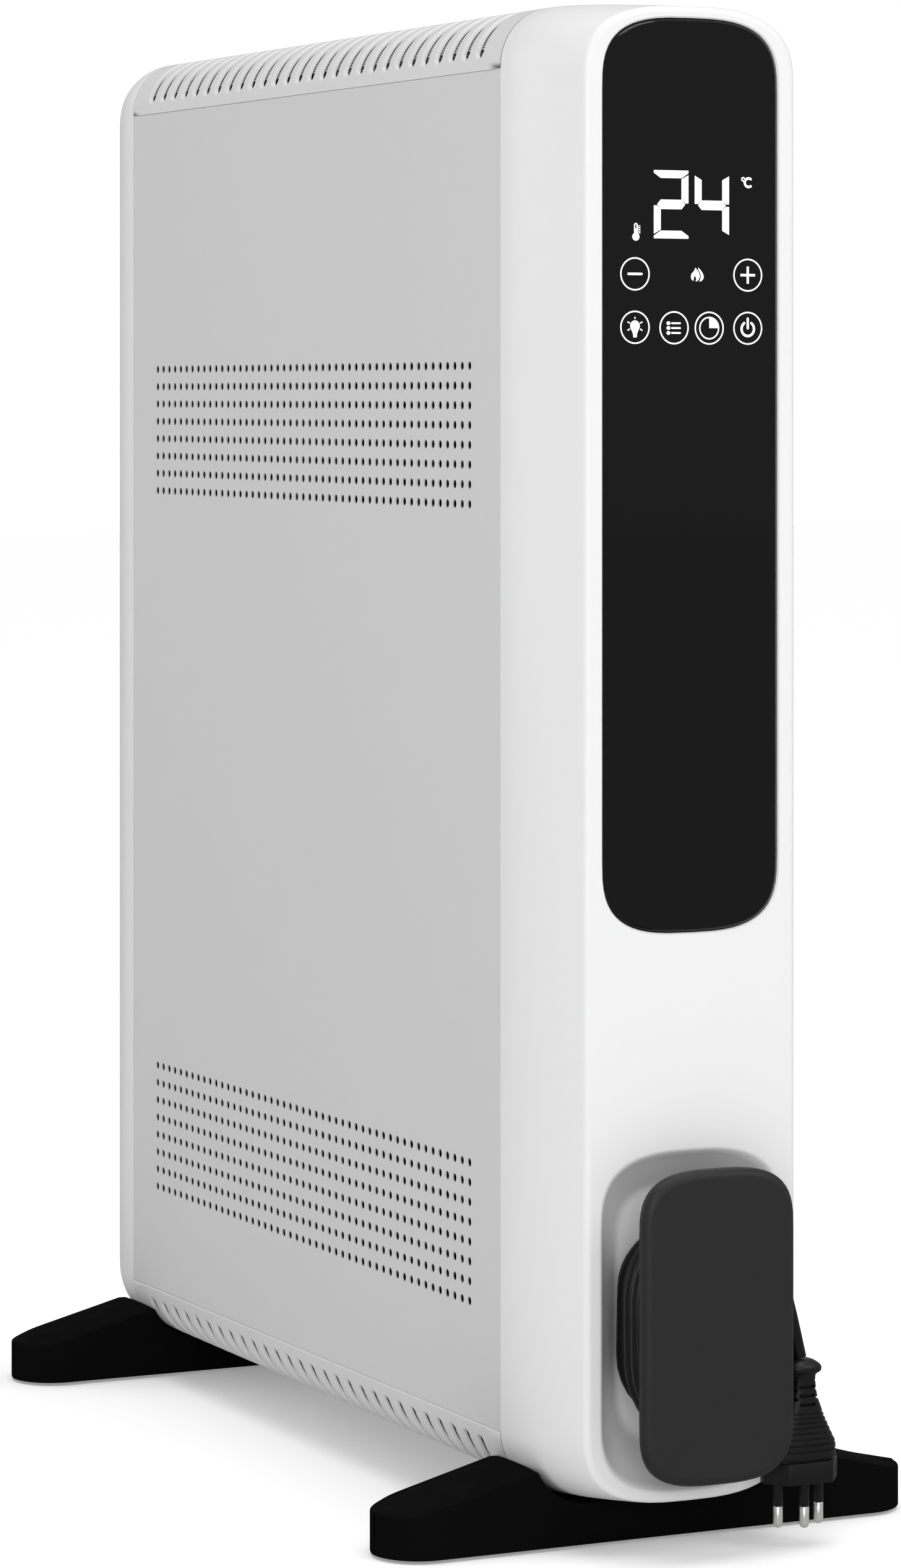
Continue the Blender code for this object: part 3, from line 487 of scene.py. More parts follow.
def make_floor_material():
    """White paper: bright to the camera, a little greyer in its bounce, and dim in gloss, for deep blacks."""
    paint = Paint("floor_paper", (0.95, 0.95, 0.95), 0.75)
    paint.tint(paint.noise(40, 3), (0.94, 0.94, 0.94))
    paint.bump(paint.noise(900, 2), 0.00002, 0.2)
    path = paint.node("ShaderNodeLightPath")
    lift = paint.node("ShaderNodeMath", operation="MULTIPLY")
    paint.join(path.outputs["Is Camera Ray"], lift.inputs[0])
    lift.inputs[1].default_value = 0.25
    paint.set_socket("Emission Color", (1, 1, 1, 1))
    paint.join(lift.outputs["Value"], paint.shader.inputs["Emission Strength"])
    bounce = paint.node("ShaderNodeBsdfDiffuse", Color=(0.8, 0.8, 0.8, 1))
    dim = paint.node("ShaderNodeEmission", Color=(0.3, 0.3, 0.3, 1))
    shader = mix_shaders(paint.tree, path.outputs["Is Diffuse Ray"], paint.shader.outputs["BSDF"],
                         bounce.outputs["BSDF"])
    shader = mix_shaders(paint.tree, path.outputs["Is Glossy Ray"], shader, dim.outputs["Emission"])
    paint.join(shader, paint.tree.nodes["Material Output"].inputs["Surface"])
    return paint.material


MATERIALS = {
    "case_paint": make_case_paint("case_paint", (0.88, 0.88, 0.883), 700, 0.36),
    "panel_paint": make_case_paint("panel_paint", (0.70, 0.70, 0.703), 1100, 0.44),
    "grille_plastic": make_case_paint("grille_plastic", (0.76, 0.76, 0.763), 900, 0.42),
    "foot_plastic": make_grained("foot_plastic", (0.0042, 0.0042, 0.0043), 0.6, 3000, 0.00001,
                                 other=0.005, ior=1.03),
    "cover_plastic": make_grained("cover_plastic", (0.02, 0.02, 0.0202), 0.5, 3200, other=0.023, shine=0.25),
    "plug_plastic": make_grained("plug_plastic", (0.0045, 0.0045, 0.0047), 0.42, 3400, 0.00002,
                                 other=0.008, shine=0.3),
    "pad_rubber": make_grained("pad_rubber", (0.010, 0.010, 0.010), 0.8, 1800, other=0.03),
    "inner_black": make_grained("inner_black", (0.015, 0.015, 0.015), 0.5),
    "inner_white": make_grained("inner_white", (0.6, 0.6, 0.57), 0.5, 1500),
    # Painted shade: the columns are near-black so that the inside of the case looks dark through the holes
    # and slots
    "column_paint": make_grained("column_paint", (0.03, 0.03, 0.031), 0.55, 1200, other=0.045),
    "lead_blue": make_grained("lead_blue", (0.015, 0.06, 0.32), 0.45, 1800),
    "lead_brown": make_grained("lead_brown", (0.13, 0.05, 0.018), 0.45, 1800),
    "glass_black": make_glass_black(),
    "cord_rubber": make_cord_rubber(),
    "pin_nickel": make_metal("pin_nickel", (0.86, 0.86, 0.85), 0.24, (1, 1, 0.2), 900, 0.7),
    "screw_steel": make_metal("screw_steel", (0.55, 0.55, 0.56), 0.3, (1, 1, 1)),
    "terminal_brass": make_metal("terminal_brass", (0.62, 0.46, 0.2), 0.3, (1, 1, 3)),
    "zinc_sheet": make_zinc(),
    "board_green": make_board(),
    # Painted shade: a dark grey for the case's inside faces, standing in for the shade inside the case
    "inside_shade_grey": make_grained("inside_shade_grey", (0.22, 0.22, 0.22), 0.7, 1400),
}
INK = make_ink()


def paint_cad_nodes():
    """Every CAD node takes its slot's finished material, and round ones are shaded smooth."""
    slots = {part["node"]: part["material_slot"] for part in frame["record"]["subparts"]}
    for name, node in frame["nodes"].items():
        node.data.materials.clear()
        node.data.materials.append(MATERIALS[slots[name]])
        node.data.shade_smooth()
        node.data.set_sharp_from_angle(angle=math.radians(32))


# --- camera, light and floor ---------------------------------------------------------------------

def make_camera():
    camera = bpy.data.cameras.new("camera")
    camera.sensor_width = 36
    camera.lens = 116.88
    camera.shift_y = -0.2483
    camera.clip_start = 0.05
    camera.clip_end = 60
    made = link_object("camera", camera)
    made.location = (-0.983, -2.0623, 0.47085)
    made.rotation_euler = (math.radians(90), 0, math.radians(-25.608))
    bpy.context.scene.camera = made


def aim(thing, place, target):
    thing.location = place
    thing.rotation_euler = (Vector(target) - Vector(place)).to_track_quat("-Z", "Y").to_euler()


def add_area_light(name, place, target, size, power):
    light = bpy.data.lights.new(name, "AREA")
    light.shape = "RECTANGLE"
    light.size, light.size_y = size
    light.energy = power
    aim(link_object(name, light), place, target)


def make_lights():
    """A white studio, brighter to the camera than to the heater, a broad light above and three beside."""
    world = bpy.data.worlds.new("studio")
    bpy.context.scene.world = world
    world.use_nodes = True
    tree = world.node_tree
    lit, seen = tree.nodes["Background"], tree.nodes.new("ShaderNodeBackground")
    for background, strength in ((lit, 0.36), (seen, 1.1)):
        background.inputs["Color"].default_value = (1, 1, 1, 1)
        background.inputs["Strength"].default_value = strength
    path = tree.nodes.new("ShaderNodeLightPath")
    shader = mix_shaders(tree, path.outputs["Is Camera Ray"], lit.outputs["Background"],
                         seen.outputs["Background"])
    tree.links.new(shader, tree.nodes["World Output"].inputs["Surface"])
    sun = bpy.data.lights.new("top_light", "SUN")
    sun.energy = 1.45
    sun.angle = math.radians(44)
    aim(link_object("top_light", sun), (-0.1, -0.3, 3), (0, 0, 0))
    add_area_light("front_light", (-1.2, -2.5, 0.75), (0, -0.2, 0.3), (1.5, 1.3), 22)
    add_area_light("left_light", (-2.3, 2.2, 1.0), (0, -0.1, 0.3), (1.6, 1.6), 12)
    add_area_light("right_light", (1.25, -1.9, 1.75), (0, -0.24, 0.2), (1.2, 1.2), 13)


def make_floor():
    mesh = bpy.data.meshes.new("floor")
    work = bmesh.new()
    bmesh.ops.create_grid(work, x_segments=8, y_segments=8, size=14)
    work.to_mesh(mesh)
    work.free()
    mesh.materials.append(make_floor_material())
    link_object("floor", mesh)


# --- cord and plug -------------------------------------------------------------------------------

def wound_point(turns, radius, y):
    """A point of the winding, a number of turns after its right side, clockwise from the front."""
    straight = WIND_HIGH - WIND_LOW
    way = (turns % 1) * (2 * math.pi * radius + 2 * straight)
    if way < straight:
        return Vector((radius, y, WIND_HIGH - way))
    way -= straight
    if way < math.pi * radius:
        angle = way / radius
        return Vector((radius * math.cos(angle), y, WIND_LOW - radius * math.sin(angle)))
    way -= math.pi * radius
    if way < straight:
        return Vector((-radius, y, WIND_LOW + way))
    angle = (way - straight) / radius
    return Vector((-radius * math.cos(angle), y, WIND_HIGH + radius * math.sin(angle)))


def cord_route(gland_tip):
    """The whole cord's centreline, from the gland's tip to the plug's collar."""
    points = [gland_tip + Vector((0, 0, (WIND_HIGH - gland_tip.z) * i / 3)) for i in range(3)]
    step = 1 / 40
    tail = [Vector(p) * MM for p in CORD_TAIL]
    leave_angle = math.atan2(tail[0].z - WIND_HIGH, tail[0].x)
    whole_outer = 2 * math.pi * OUTER_LAYER + 2 * (WIND_HIGH - WIND_LOW)
    last = 6 - leave_angle * OUTER_LAYER / whole_outer
    turns = 0
    while turns < last - 0.6 * step:
        inner_y = WIND_BACK + WIND_STEP * min(turns, INNER_TURNS)
        change = min(max((turns - INNER_TURNS) / CHANGE_TURNS, 0), 1)
        change = change * change * (3 - 2 * change)
        back = max(turns - INNER_TURNS - CHANGE_TURNS, 0) / (last - INNER_TURNS - CHANGE_TURNS)
        y = inner_y + (tail[0].y - inner_y) * back
        points.append(wound_point(turns, INNER_LAYER + (OUTER_LAYER - INNER_LAYER) * change, y))
        turns += step
    return points + smooth_route(tail)


def make_cord(plug_pieces):
    gland_tip = node_middle("cord_gland")
    gland_tip.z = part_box("cord_gland")[0].z
    points = cord_route(gland_tip)
    curve = bpy.data.curves.new("mains_cord", "CURVE")
    curve.dimensions = "3D"
    curve.bevel_depth = CORD / 2
    curve.bevel_resolution = 5
    curve.use_fill_caps = True
    spline = curve.splines.new("POLY")
    spline.points.add(len(points) - 1)
    for place, point in zip(spline.points, points):
        place.co = (*point, 1)
    curve.materials.append(MATERIALS["cord_rubber"])
    made = link_object("mains_cord", curve)
    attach(made, HEATER)
    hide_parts("cord_lead", "cord_coil", "cord_tail")


def make_gland():
    low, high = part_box("cord_gland")
    x, y = node_middle("cord_gland").xy
    profile = [(low.z, 3.3 * MM), (low.z, 3.9 * MM)]
    for k in range(GLAND_RIBS):
        z = low.z + (1.2 + k * 2.6) * MM
        radius = (3.9 + 0.08 * k) * MM
        profile += [(z, radius), (z + 0.3 * MM, radius - 0.6 * MM), (z + 1.0 * MM, radius - 0.6 * MM),
                    (z + 1.3 * MM, radius + 0.05 * MM)]
    profile += [(high.z - 9 * MM, 4.4 * MM), (high.z - 5 * MM, GLAND_NECK), (high.z, GLAND_NECK)]
    return finish_object("strain_relief", lathe_mesh("strain_relief", profile, (x, y, 0)), "cord_rubber",
                         40, "cord_gland")


PLUG_SECTIONS = (
    # height, half width, half depth
    (76.8, 3.6, 3.6), (76.5, 4.6, 4.2), (75.9, 5.6, 5.0), (75.2, 6.7, 5.9), (74.5, 7.4, 6.4),
    (73.8, 7.75, 6.75), (73.0, 7.8, 6.8), (72.2, 7.6, 6.6), (71.6, 7.0, 6.0), (71.1, 6.0, 5.3),
    (70.5, 5.5, 4.95), (69.5, 5.3, 4.9), (67.5, 5.4, 4.9), (65.3, 5.6, 4.9), (63.5, 5.85, 5.0),
    (61.8, 6.2, 5.1), (60.5, 6.65, 5.25), (59.0, 7.2, 5.45), (57.0, 7.95, 5.7), (55.0, 8.7, 5.95),
    (53.2, 9.4, 6.2), (51.2, 10.35, 6.5), (49.3, 11.25, 6.75), (47.5, 12.1, 7.0), (45.8, 12.95, 7.25),
    (44.2, 13.8, 7.5), (43.2, 14.25, 7.65), (42.6, 14.45, 7.7), (41.0, 14.55, 7.75), (38.5, 14.7, 7.85),
    (37.0, 14.8, 7.9), (36.6, 14.6, 7.75), (36.5, 13.2, 6.5), (33.5, 13.2, 6.5),
)
PLUG_GROOVES = (55.2, 53.4, 51.5, 49.5, 47.3, 45.0, 42.6, 40.0)
GROOVE_DEEP = 0.45
PLUG_POWER = 0.72
PLUG_SLOT_HALF = 0.65 * MM
PLUG_SLOT_STEP = 3.6
PLUG_BASE = (27 * MM, 35.6 * MM)
PIN_RADIUS = 2 * MM
PIN_TIP = 8 * MM
PIN_SPREAD = 9.5 * MM
EARTH_OFFSET = 5 * MM
PLUG_MIDDLE = PLUG_Y + 2.8 * MM


def plug_size(height):
    """(half width, half depth) of the plug's body at a height, both in mm."""
    for (high, wide_a, deep_a), (low, wide_b, deep_b) in zip(PLUG_SECTIONS, PLUG_SECTIONS[1:]):
        if low <= height <= high:
            share = (high - height) / (high - low)
            return wide_a + (wide_b - wide_a) * share, deep_a + (deep_b - deep_a) * share
    return PLUG_SECTIONS[-1][1:]


def plug_ring(height, inset=0.0, sides=64):
    wide, deep = plug_size(height)
    ring = []
    for i in range(sides):
        angle = 2 * math.pi * i / sides
        cos, sin = math.cos(angle), math.sin(angle)
        ring.append((PLUG_X + (wide - inset) * MM * math.copysign(abs(cos) ** PLUG_POWER, cos),
                     PLUG_Y + (deep - inset) * MM * math.copysign(abs(sin) ** PLUG_POWER, sin), height * MM))
    return ring


def make_plug():
    heights = [(section[0], 0.0) for section in PLUG_SECTIONS]
    for groove in PLUG_GROOVES:
        heights = [h for h in heights if abs(h[0] - groove) > GROOVE_DEEP]
        heights += [(groove + 0.42, 0), (groove + 0.22, GROOVE_DEEP), (groove - 0.22, GROOVE_DEEP),
                    (groove - 0.42, 0)]
    heights.sort(key=lambda h: -h[0])
    rings = [plug_ring(height, inset) for height, inset in heights]
    body = loft_mesh("plug_shell", rings)
    slots = []
    for k in range(3):
        front_z, side_z = ((highest - PLUG_SLOT_STEP * k) * MM for highest in (66.0, 68.2))
        for side in (-1, 1):
            near, far = sorted((PLUG_Y + side * 3.4 * MM, PLUG_Y + side * 9 * MM))
            slots.append(box_mesh((PLUG_X - 3.6 * MM, near, front_z - PLUG_SLOT_HALF),
                                  (PLUG_X + 3.6 * MM, far, front_z + PLUG_SLOT_HALF)))
        for side in (-1, 1):
            near, far = sorted((PLUG_X + side * 4.1 * MM, PLUG_X + side * 10 * MM))
            slots.append(box_mesh((near, PLUG_Y - 9 * MM, side_z - PLUG_SLOT_HALF),
                                  (far, PLUG_Y + 9 * MM, side_z + PLUG_SLOT_HALF)))
    body = cut(body, slots)
    front, side, back = PLUG_Y - 8.5 * MM, PLUG_MIDDLE, PLUG_Y + 8.3 * MM
    flat = ((-10 * MM, front), (10 * MM, front), (17.2 * MM, side - 2 * MM), (17.2 * MM, side + 1 * MM),
            (12 * MM, back), (-12 * MM, back), (-17.2 * MM, side + 1 * MM), (-17.2 * MM, side - 2 * MM))
    base = loft_mesh("plug_base", [[(PLUG_X + x, y, z) for x, y in flat] for z in PLUG_BASE])
    work = bmesh.new()
    work.from_mesh(base)
    bmesh.ops.bevel(work, geom=work.edges, offset=0.35 * MM, segments=2, profile=0.5, affect="EDGES")
    work.to_mesh(base)
    work.free()
    sleeves = []
    profile = ((16.9 * MM, 1.5 * MM), (16.9 * MM, 1.85 * MM), (17.1 * MM, PIN_RADIUS), (28 * MM, PIN_RADIUS))
    for x, y in pin_places():
        sleeves.append(lathe_mesh("sleeve", profile, (x, y, 0), sides=32))
    shell = join_meshes("plug", [body, base] + sleeves)
    pieces = [finish_object("moulded_plug", shell, "plug_plastic", 38, "plug_body")]
    profile = []
    for turn in (2, 20, 38, 55, 70, 82, 90):
        back, radius = polar(PIN_RADIUS, turn)
        profile.append((PIN_TIP + PIN_RADIUS - back, radius))
    profile += [(12 * MM, PIN_RADIUS), (16.7 * MM, PIN_RADIUS),
                (16.85 * MM, 1.9 * MM), (16.85 * MM, 1.2 * MM)]
    for name, (x, y) in zip(("live", "neutral", "earth"), pin_places()):
        pin = lathe_mesh(f"pin_{name}", profile, (x, y, 0), sides=40)
        pieces.append(finish_object(f"pin_{name}", pin, "pin_nickel", 40, f"plug_pin_{name}"))
    return pieces


def pin_places():
    return ((PLUG_X - PIN_SPREAD, PLUG_MIDDLE), (PLUG_X + PIN_SPREAD, PLUG_MIDDLE),
            (PLUG_X, PLUG_MIDDLE - EARTH_OFFSET))


# --- case ----------------------------------------------------------------------------------------

def cap_section(closing, inset=0.0, edge=0.0):
    """The case's outline part of the way, 0 to 1, from a seam to an end face."""
    swell = closing ** 1.8
    narrowed = (HALF_WIDTH - FACE_HALF) * swell + inset + edge
    dropped = FACE_TOP_DROP * closing ** 2 + inset + edge
    half = HALF_WIDTH - narrowed
    corner_x = CORNER - inset + (FACE_HALF - CORNER) * swell - edge
    corner_z = CORNER - inset + (FACE_CORNER_HIGH - CORNER) * swell - edge
    power = 2 + (FACE_POWER - 2) * swell
    return outline(half, CASE_LOW + 0.7 * dropped + 0.3 * (inset + edge), CASE_HIGH - dropped,
                   min(corner_x, half - 0.2 * MM), corner_z, power)


def cap_rings(seam, face, inset=0.0, beyond=0.0, steps=16):
    way = face - seam
    direction = math.copysign(1, way)
    rings = [at_y(cap_section(0, inset), seam - direction * beyond)]
    last = 1 - CAP_EDGE / abs(way) - inset / abs(way)
    for i in range(steps + 1):
        along = 0.1 + (last - 0.1) * i / steps
        rings.append(at_y(cap_section((along - 0.1) / 0.9, inset), seam + way * along))
    if not inset:
        closing = (last - 0.1) / 0.9
        for turn in (15, 30, 45, 60, 75, 90):
            across, up = polar(CAP_EDGE, turn)
            further = closing + (1 - closing) * turn / 90
            rings.append(at_y(cap_section(further, 0, CAP_EDGE - across), face - direction * (CAP_EDGE - up)))
    return rings


def dish_ring(y, slope):
    return at_y(outline(DISH_HALF - slope, DISH_LOW + slope, DISH_HIGH - slope,
                        DISH_HALF - slope - 0.2 * MM, DISH_CORNER - 0.3 * slope, DISH_POWER), y)


def dish_slope(deep):
    return DISH_SLOPE * max(deep, 0) ** 1.35


def dish_rings():
    """The cord bay: a soft rim, sloping walls and a rounded floor corner."""
    rings = [dish_ring(FACE_Y - 2 * MM, -DISH_RIM)]
    for turn in (0, 22, 45, 67):
        along, up = polar(DISH_RIM, turn)
        rings.append(dish_ring(FACE_Y + DISH_RIM - along, up - DISH_RIM))
    for i in range(15):
        deep = 0.1 + 0.86 * i / 14
        rings.append(dish_ring(FACE_Y + DISH_DEEP * deep, dish_slope(deep)))
    rings.append(dish_ring(FACE_Y + DISH_DEEP * 0.99, DISH_SLOPE * 1.04))
    rings.append(dish_ring(FACE_Y + DISH_DEEP, DISH_SLOPE * 1.12))
    return rings


def dish_shell_rings():
    """The outside of the bay's wall, inside the case."""
    rings = []
    for deep in (-0.05, 0.1, 0.3, 0.5, 0.7, 0.9, 1.0):
        y = FACE_Y + max(DISH_DEEP * deep, 0.8 * MM) + (WALL if deep > 0.95 else 0)
        rings.append(dish_ring(y, dish_slope(deep) - WALL))
    return rings


def glass_outline(inset=0.0):
    half = GLASS_HIGH_CORNER.x
    return outline(half - inset, GLASS_LOW_CORNER.z + inset, GLASS_HIGH_CORNER.z - inset,
                   half - inset, GLASS_CORNER - inset, GLASS_POWER)


def make_front_cap():
    shell = loft_mesh("front_cap_shell", cap_rings(FRONT_SEAM, FACE_Y))
    room = loft_mesh("room", cap_rings(FRONT_SEAM, FACE_Y, WALL, 3 * MM, 8))
    dish_wall = loft_mesh("dish_wall", dish_shell_rings())
    shell = cut(shell, [room])
    shell = cut(shell, [dish_wall], "UNION")
    wide, close = glass_outline(-1.1 * MM), glass_outline(-0.45 * MM)
    pocket = loft_mesh("pocket", [at_y(wide, FACE_Y - 2 * MM), at_y(wide, FACE_Y),
                                  at_y(close, FACE_Y + 0.7 * MM), at_y(close, FACE_Y + 6 * MM)])
    shell = cut(shell, [loft_mesh("dish", dish_rings()), pocket])
    bore = GLAND_NECK + 0.2 * MM
    x, y = node_middle("cord_gland").xy
    hole = lathe_mesh("hole", ((134 * MM, bore), (162 * MM, bore)), (x, y, 0))
    finish_object("front_end_cap", cut(shell, [hole]), "case_paint", 32, "front_cap", weighted=True)


def make_rear_cap():
    shell = loft_mesh("rear_cap_shell", cap_rings(REAR_SEAM, REAR_FACE_Y))
    room = loft_mesh("room", cap_rings(REAR_SEAM, REAR_FACE_Y, WALL, 3 * MM, 8))
    holes = []
    for end in ("low", "high"):
        for side in ("left", "right"):
            place = node_middle(f"rear_cap_screw_{end}_{side}")
            place.y = REAR_FACE_Y
            holes.append(lathe_mesh("screw_hole", (
                (-12 * MM, 2 * MM), (-1.4 * MM, 2 * MM), (-1.4 * MM, 4.4 * MM), (-0.4 * MM, 4.4 * MM),
                (0, 4.9 * MM), (1 * MM, 4.9 * MM)), place, "Y"))
    shell = cut(cut(shell, [room]), holes)
    finish_object("rear_end_cap", shell, "case_paint", 32, "rear_cap", weighted=True)


def make_side_panel(side_name, side):
    """A folded sheet pierced by two blocks of small round holes."""
    thick, turn_in, fold_deep = PANEL_SHEET, PANEL_TURN, HALF_WIDTH - PANEL_FOLD
    front, rear, low, high = PANEL_FRONT, PANEL_REAR, PANEL_LOW, PANEL_HIGH

    def corners(inset):
        return [(front + inset, low + inset), (rear - inset, low + inset),
                (rear - inset, high - inset), (front + inset, high - inset)]

    flat = [corners(turn_in)]
    for block in HOLE_BLOCKS:
        for row in range(HOLE_ROWS):
            for column in range(HOLE_COLUMNS):
                y = HOLES_MIDDLE + (column - (HOLE_COLUMNS - 1) / 2) * HOLE_PITCH.y
                flat.append(circle(y, block + row * HOLE_PITCH.z, HOLE_RADIUS))
    sheet = flat_shape("sheet", flat, thick)
    # The shape lies in X-Z and faces -Y: turn it to lie in Y-Z
    out = side * (HALF_WIDTH - thick / 2)
    sheet.transform(Matrix(((0, side, 0, out), (1, 0, 0, 0), (0, 0, 1, 0), (0, 0, 0, 1))))

    def ring(x, inset):
        return [(side * x, y, z) for y, z in corners(inset)]

    rings = []
    for turn in (90, 70, 50, 30, 10, 0):
        along, up = polar(turn_in, turn)
        rings.append(ring(HALF_WIDTH - turn_in + up, turn_in - along))
    rings += [ring(fold_deep, 0), ring(fold_deep, thick), ring(HALF_WIDTH - thick, thick)]
    fold = loft_mesh("fold", rings, close_ends=False)
    panel = finish_object(f"{side_name}_pierced_panel", join_meshes("panel", [sheet, fold]), "panel_paint",
                          40, f"{side_name}_side_panel", weighted=True)
    half = 0.5 * thick
    # Painted shade: the panel's inside faces are darkened so that its holes look dark
    paint_inside_shade(panel, lambda face: abs(face.center.x) < HALF_WIDTH - 0.9 * thick
                  and low + half < face.center.z < high - half and front + half < face.center.y < rear - half)


def on_arch(s, y, depth, top, side):
    """The point s along the arch from its corner's start, on one side, and depth under its surface."""
    radius = CORNER - depth
    if s < 0:
        x, up = HALF_WIDTH - depth, s
    elif s < CORNER * math.pi / 2:
        angle = s / CORNER
        x = HALF_WIDTH - CORNER + radius * math.cos(angle)
        up = radius * math.sin(angle)
    else:
        x, up = HALF_WIDTH - CORNER - (s - CORNER * math.pi / 2), radius
    z = CASE_HIGH - CORNER + up if top else CASE_LOW + CORNER - up
    return side * x, y, z


def depth_under_arch(place, top):
    """How far a point lies under the arch's outer surface."""
    beside = abs(place.x) - (HALF_WIDTH - CORNER)
    above = (place.z - (CASE_HIGH - CORNER)) if top else (CASE_LOW + CORNER - place.z)
    if beside > 0 and above > 0:
        return CORNER - math.hypot(beside, above)
    return CORNER - max(beside, above)


def arch_edge(top):
    """Where the side panels' edge comes, along the arch."""
    return PANEL_HIGH - (CASE_HIGH - CORNER) if top else CASE_LOW + CORNER - PANEL_LOW


def along_slot(s_from, s_to):
    return [s_from + (s_to - s_from) * i / (SLOT_STATIONS - 1) for i in range(SLOT_STATIONS)]


def slot_loop(half_width, s_from, s_to):
    """(y, s) points round a slot with round ends, the same count for each half width."""
    stations = along_slot(s_from, s_to)
    turns = [180 * i / SLOT_END_STEPS for i in range(1, SLOT_END_STEPS)]
    points = [(half_width, s) for s in stations]
    points += [polar(half_width, turn, 0, s_to) for turn in turns]
    points += [(-half_width, s) for s in stations[::-1]]
    return points + [polar(half_width, 180 + turn, 0, s_from) for turn in turns]


def cell_loop(half_pitch, s_low, s_high, s_from, s_to):
    """The cell round a slot, with one point for each of slot_loop's."""
    stations = along_slot(s_from, s_to)
    turns = [math.pi * i / SLOT_END_STEPS for i in range(1, SLOT_END_STEPS)]
    across = [max(-1, min(1, math.cos(a) / math.sin(a))) for a in turns]
    beyond = [min(1, math.sin(a) / max(abs(math.cos(a)), WELD)) for a in turns]
    points = [(half_pitch, s) for s in stations]
    points += [(half_pitch * u, s_to + (s_high - s_to) * v) for u, v in zip(across, beyond)]
    points += [(-half_pitch, s) for s in stations[::-1]]
    return points + [(-half_pitch * u, s_from - (s_from - s_low) * v) for u, v in zip(across, beyond)]


def make_grille(name, top):
    """An arch of ribs with rounded edges, between a plain rim and a spine along its middle."""
    edge = arch_edge(top) + SEAM
    corner, drop = (0.25 * MM, 0.2 * MM) if top else (0.9 * MM, 0.3 * MM)
    s_from = edge + SLOT_FROM_EDGE + SLOT_HALF
    s_to = ARCH_HALF - SPINE_HALF - SLOT_HALF
    loops = []
    for turn in (0, 15, 32, 50, 70, 90):
        along, up = polar(SLOT_ROUND, turn)
        loops.append((slot_loop(SLOT_HALF + SLOT_ROUND - up, s_from, s_to), SLOT_ROUND - along))
    loops.append((slot_loop(SLOT_HALF, s_from, s_to), GRILLE_SHEET))
    cell = cell_loop(SLOT_PITCH / 2, edge + corner, ARCH_HALF, s_from, s_to)
    middle = 0.5 * (PANEL_FRONT + PANEL_REAR)
    points, faces = [], []

    def add_loop(loop, y, depth, side):
        start = len(points)
        points.extend(on_arch(s, y + across, depth, top, side) for across, s in loop)
        return start

    def bridge(a, b):
        count = len(cell)
        faces.extend((a + i, a + (i + 1) % count, b + (i + 1) % count, b + i) for i in range(count))

    def add_strip(places, y_from, y_to):
        start = len(points)
        points.extend(on_arch(s, y, depth, top, side) for s, depth in places for y in (y_from, y_to))
        faces.extend((start + 2 * i, start + 2 * i + 1, start + 2 * i + 3, start + 2 * i + 2)
                     for i in range(len(places) - 1))

    for side in (-1, 1):
        for k in range(SLOTS):
            y = middle + (k - (SLOTS - 1) / 2) * SLOT_PITCH
            before = add_loop(cell, y, 0, side)
            for loop, depth in loops:
                after = add_loop(loop, y, depth, side)
                bridge(before, after)
                before = after
            bridge(before, add_loop(cell, y, GRILLE_SHEET, side))
        ends = [math.tan(math.pi * i / SLOT_END_STEPS) for i in range(1, SLOT_END_STEPS // 4)]
        lines = [edge + corner] + [s_from - (s_from - edge - corner) * share for share in ends[::-1]]
        lines += along_slot(s_from, s_to)
        lines += [s_to + (ARCH_HALF - s_to) * share for share in ends] + [ARCH_HALF]
        reach = SLOTS / 2 * SLOT_PITCH
        for y_from, y_to in ((PANEL_FRONT, middle - reach), (middle + reach, PANEL_REAR)):
            for depth in (0, GRILLE_SHEET):
                add_strip([(s, depth) for s in lines], y_from, y_to)
        add_strip([(edge + corner, 0), (edge + 0.1 * corner, 0.8 * drop), (edge, drop), (edge, GRILLE_SHEET)],
                  PANEL_FRONT, PANEL_REAR)
    grille = finish_object(f"{name}_slotted", mesh_from(name, points, faces), "grille_plastic", 45, name,
                           weighted=True)
    # Painted shade: the grille's inside faces are darkened so that its slots look dark
    paint_inside_shade(grille, lambda face: depth_under_arch(face.center, top) > 0.995 * GRILLE_SHEET)


def make_inner_guard(name, top):
    """Fine bars along the case under the slots, which keep fingers from the hot columns."""
    first = arch_edge(top) + GUARD_START
    near, far = GUARD_DEEP
    points, faces = [], []
    count = int((ARCH_HALF - first) / GUARD_PITCH)
    for side in (-1, 1):
        for k in range(count):
            s = first + k * GUARD_PITCH
            end = s + GUARD_BAR
            start = len(points)
            for y in (PANEL_FRONT + 4 * MM, PANEL_REAR - 4 * MM):
                for along, depth in ((s, near), (end, near), (end, far), (s, far)):
                    points.append(on_arch(along, y, depth, top, side))
            for i in range(4):
                after = (i + 1) % 4
                faces.append((start + i, start + after, start + 4 + after, start + 4 + i))
            faces += [(start, start + 1, start + 2, start + 3), (start + 4, start + 5, start + 6, start + 7)]
    finish_object(name, mesh_from(name, points, faces), "grille_plastic", 30)


def make_glass():
    front = GLASS_LOW_CORNER.y
    rings = [at_y(glass_outline(GLASS_CHAMFER), front),
             at_y(glass_outline(0.25 * GLASS_CHAMFER), front + 0.62 * GLASS_CHAMFER),
             at_y(glass_outline(), front + GLASS_CHAMFER), at_y(glass_outline(), GLASS_HIGH_CORNER.y)]
    finish_object("touch_glass", loft_mesh("touch_glass", rings), "glass_black", 20, "control_glass")


# --- marks on the glass --------------------------------------------------------------------------

def place_marks(name, splines, x, z, depth=0.06 * MM):
    """Flat white marks given in mm about (x, z), printed on the face of the glass."""
    mesh = flat_shape(name, [[(u * MM, v * MM) for u, v in spline] for spline in splines], depth)
    mesh.transform(Matrix.Translation((x * MM, GLASS_LOW_CORNER.y - 0.4 * depth, z * MM)))
    finish_object(name, mesh, "glass_black", material=INK)


def ring_pair(radius, stroke, x=0.0, z=0.0, sides=56):
    return [circle(x, z, radius, sides), circle(x, z, radius - stroke, sides)[::-1]]


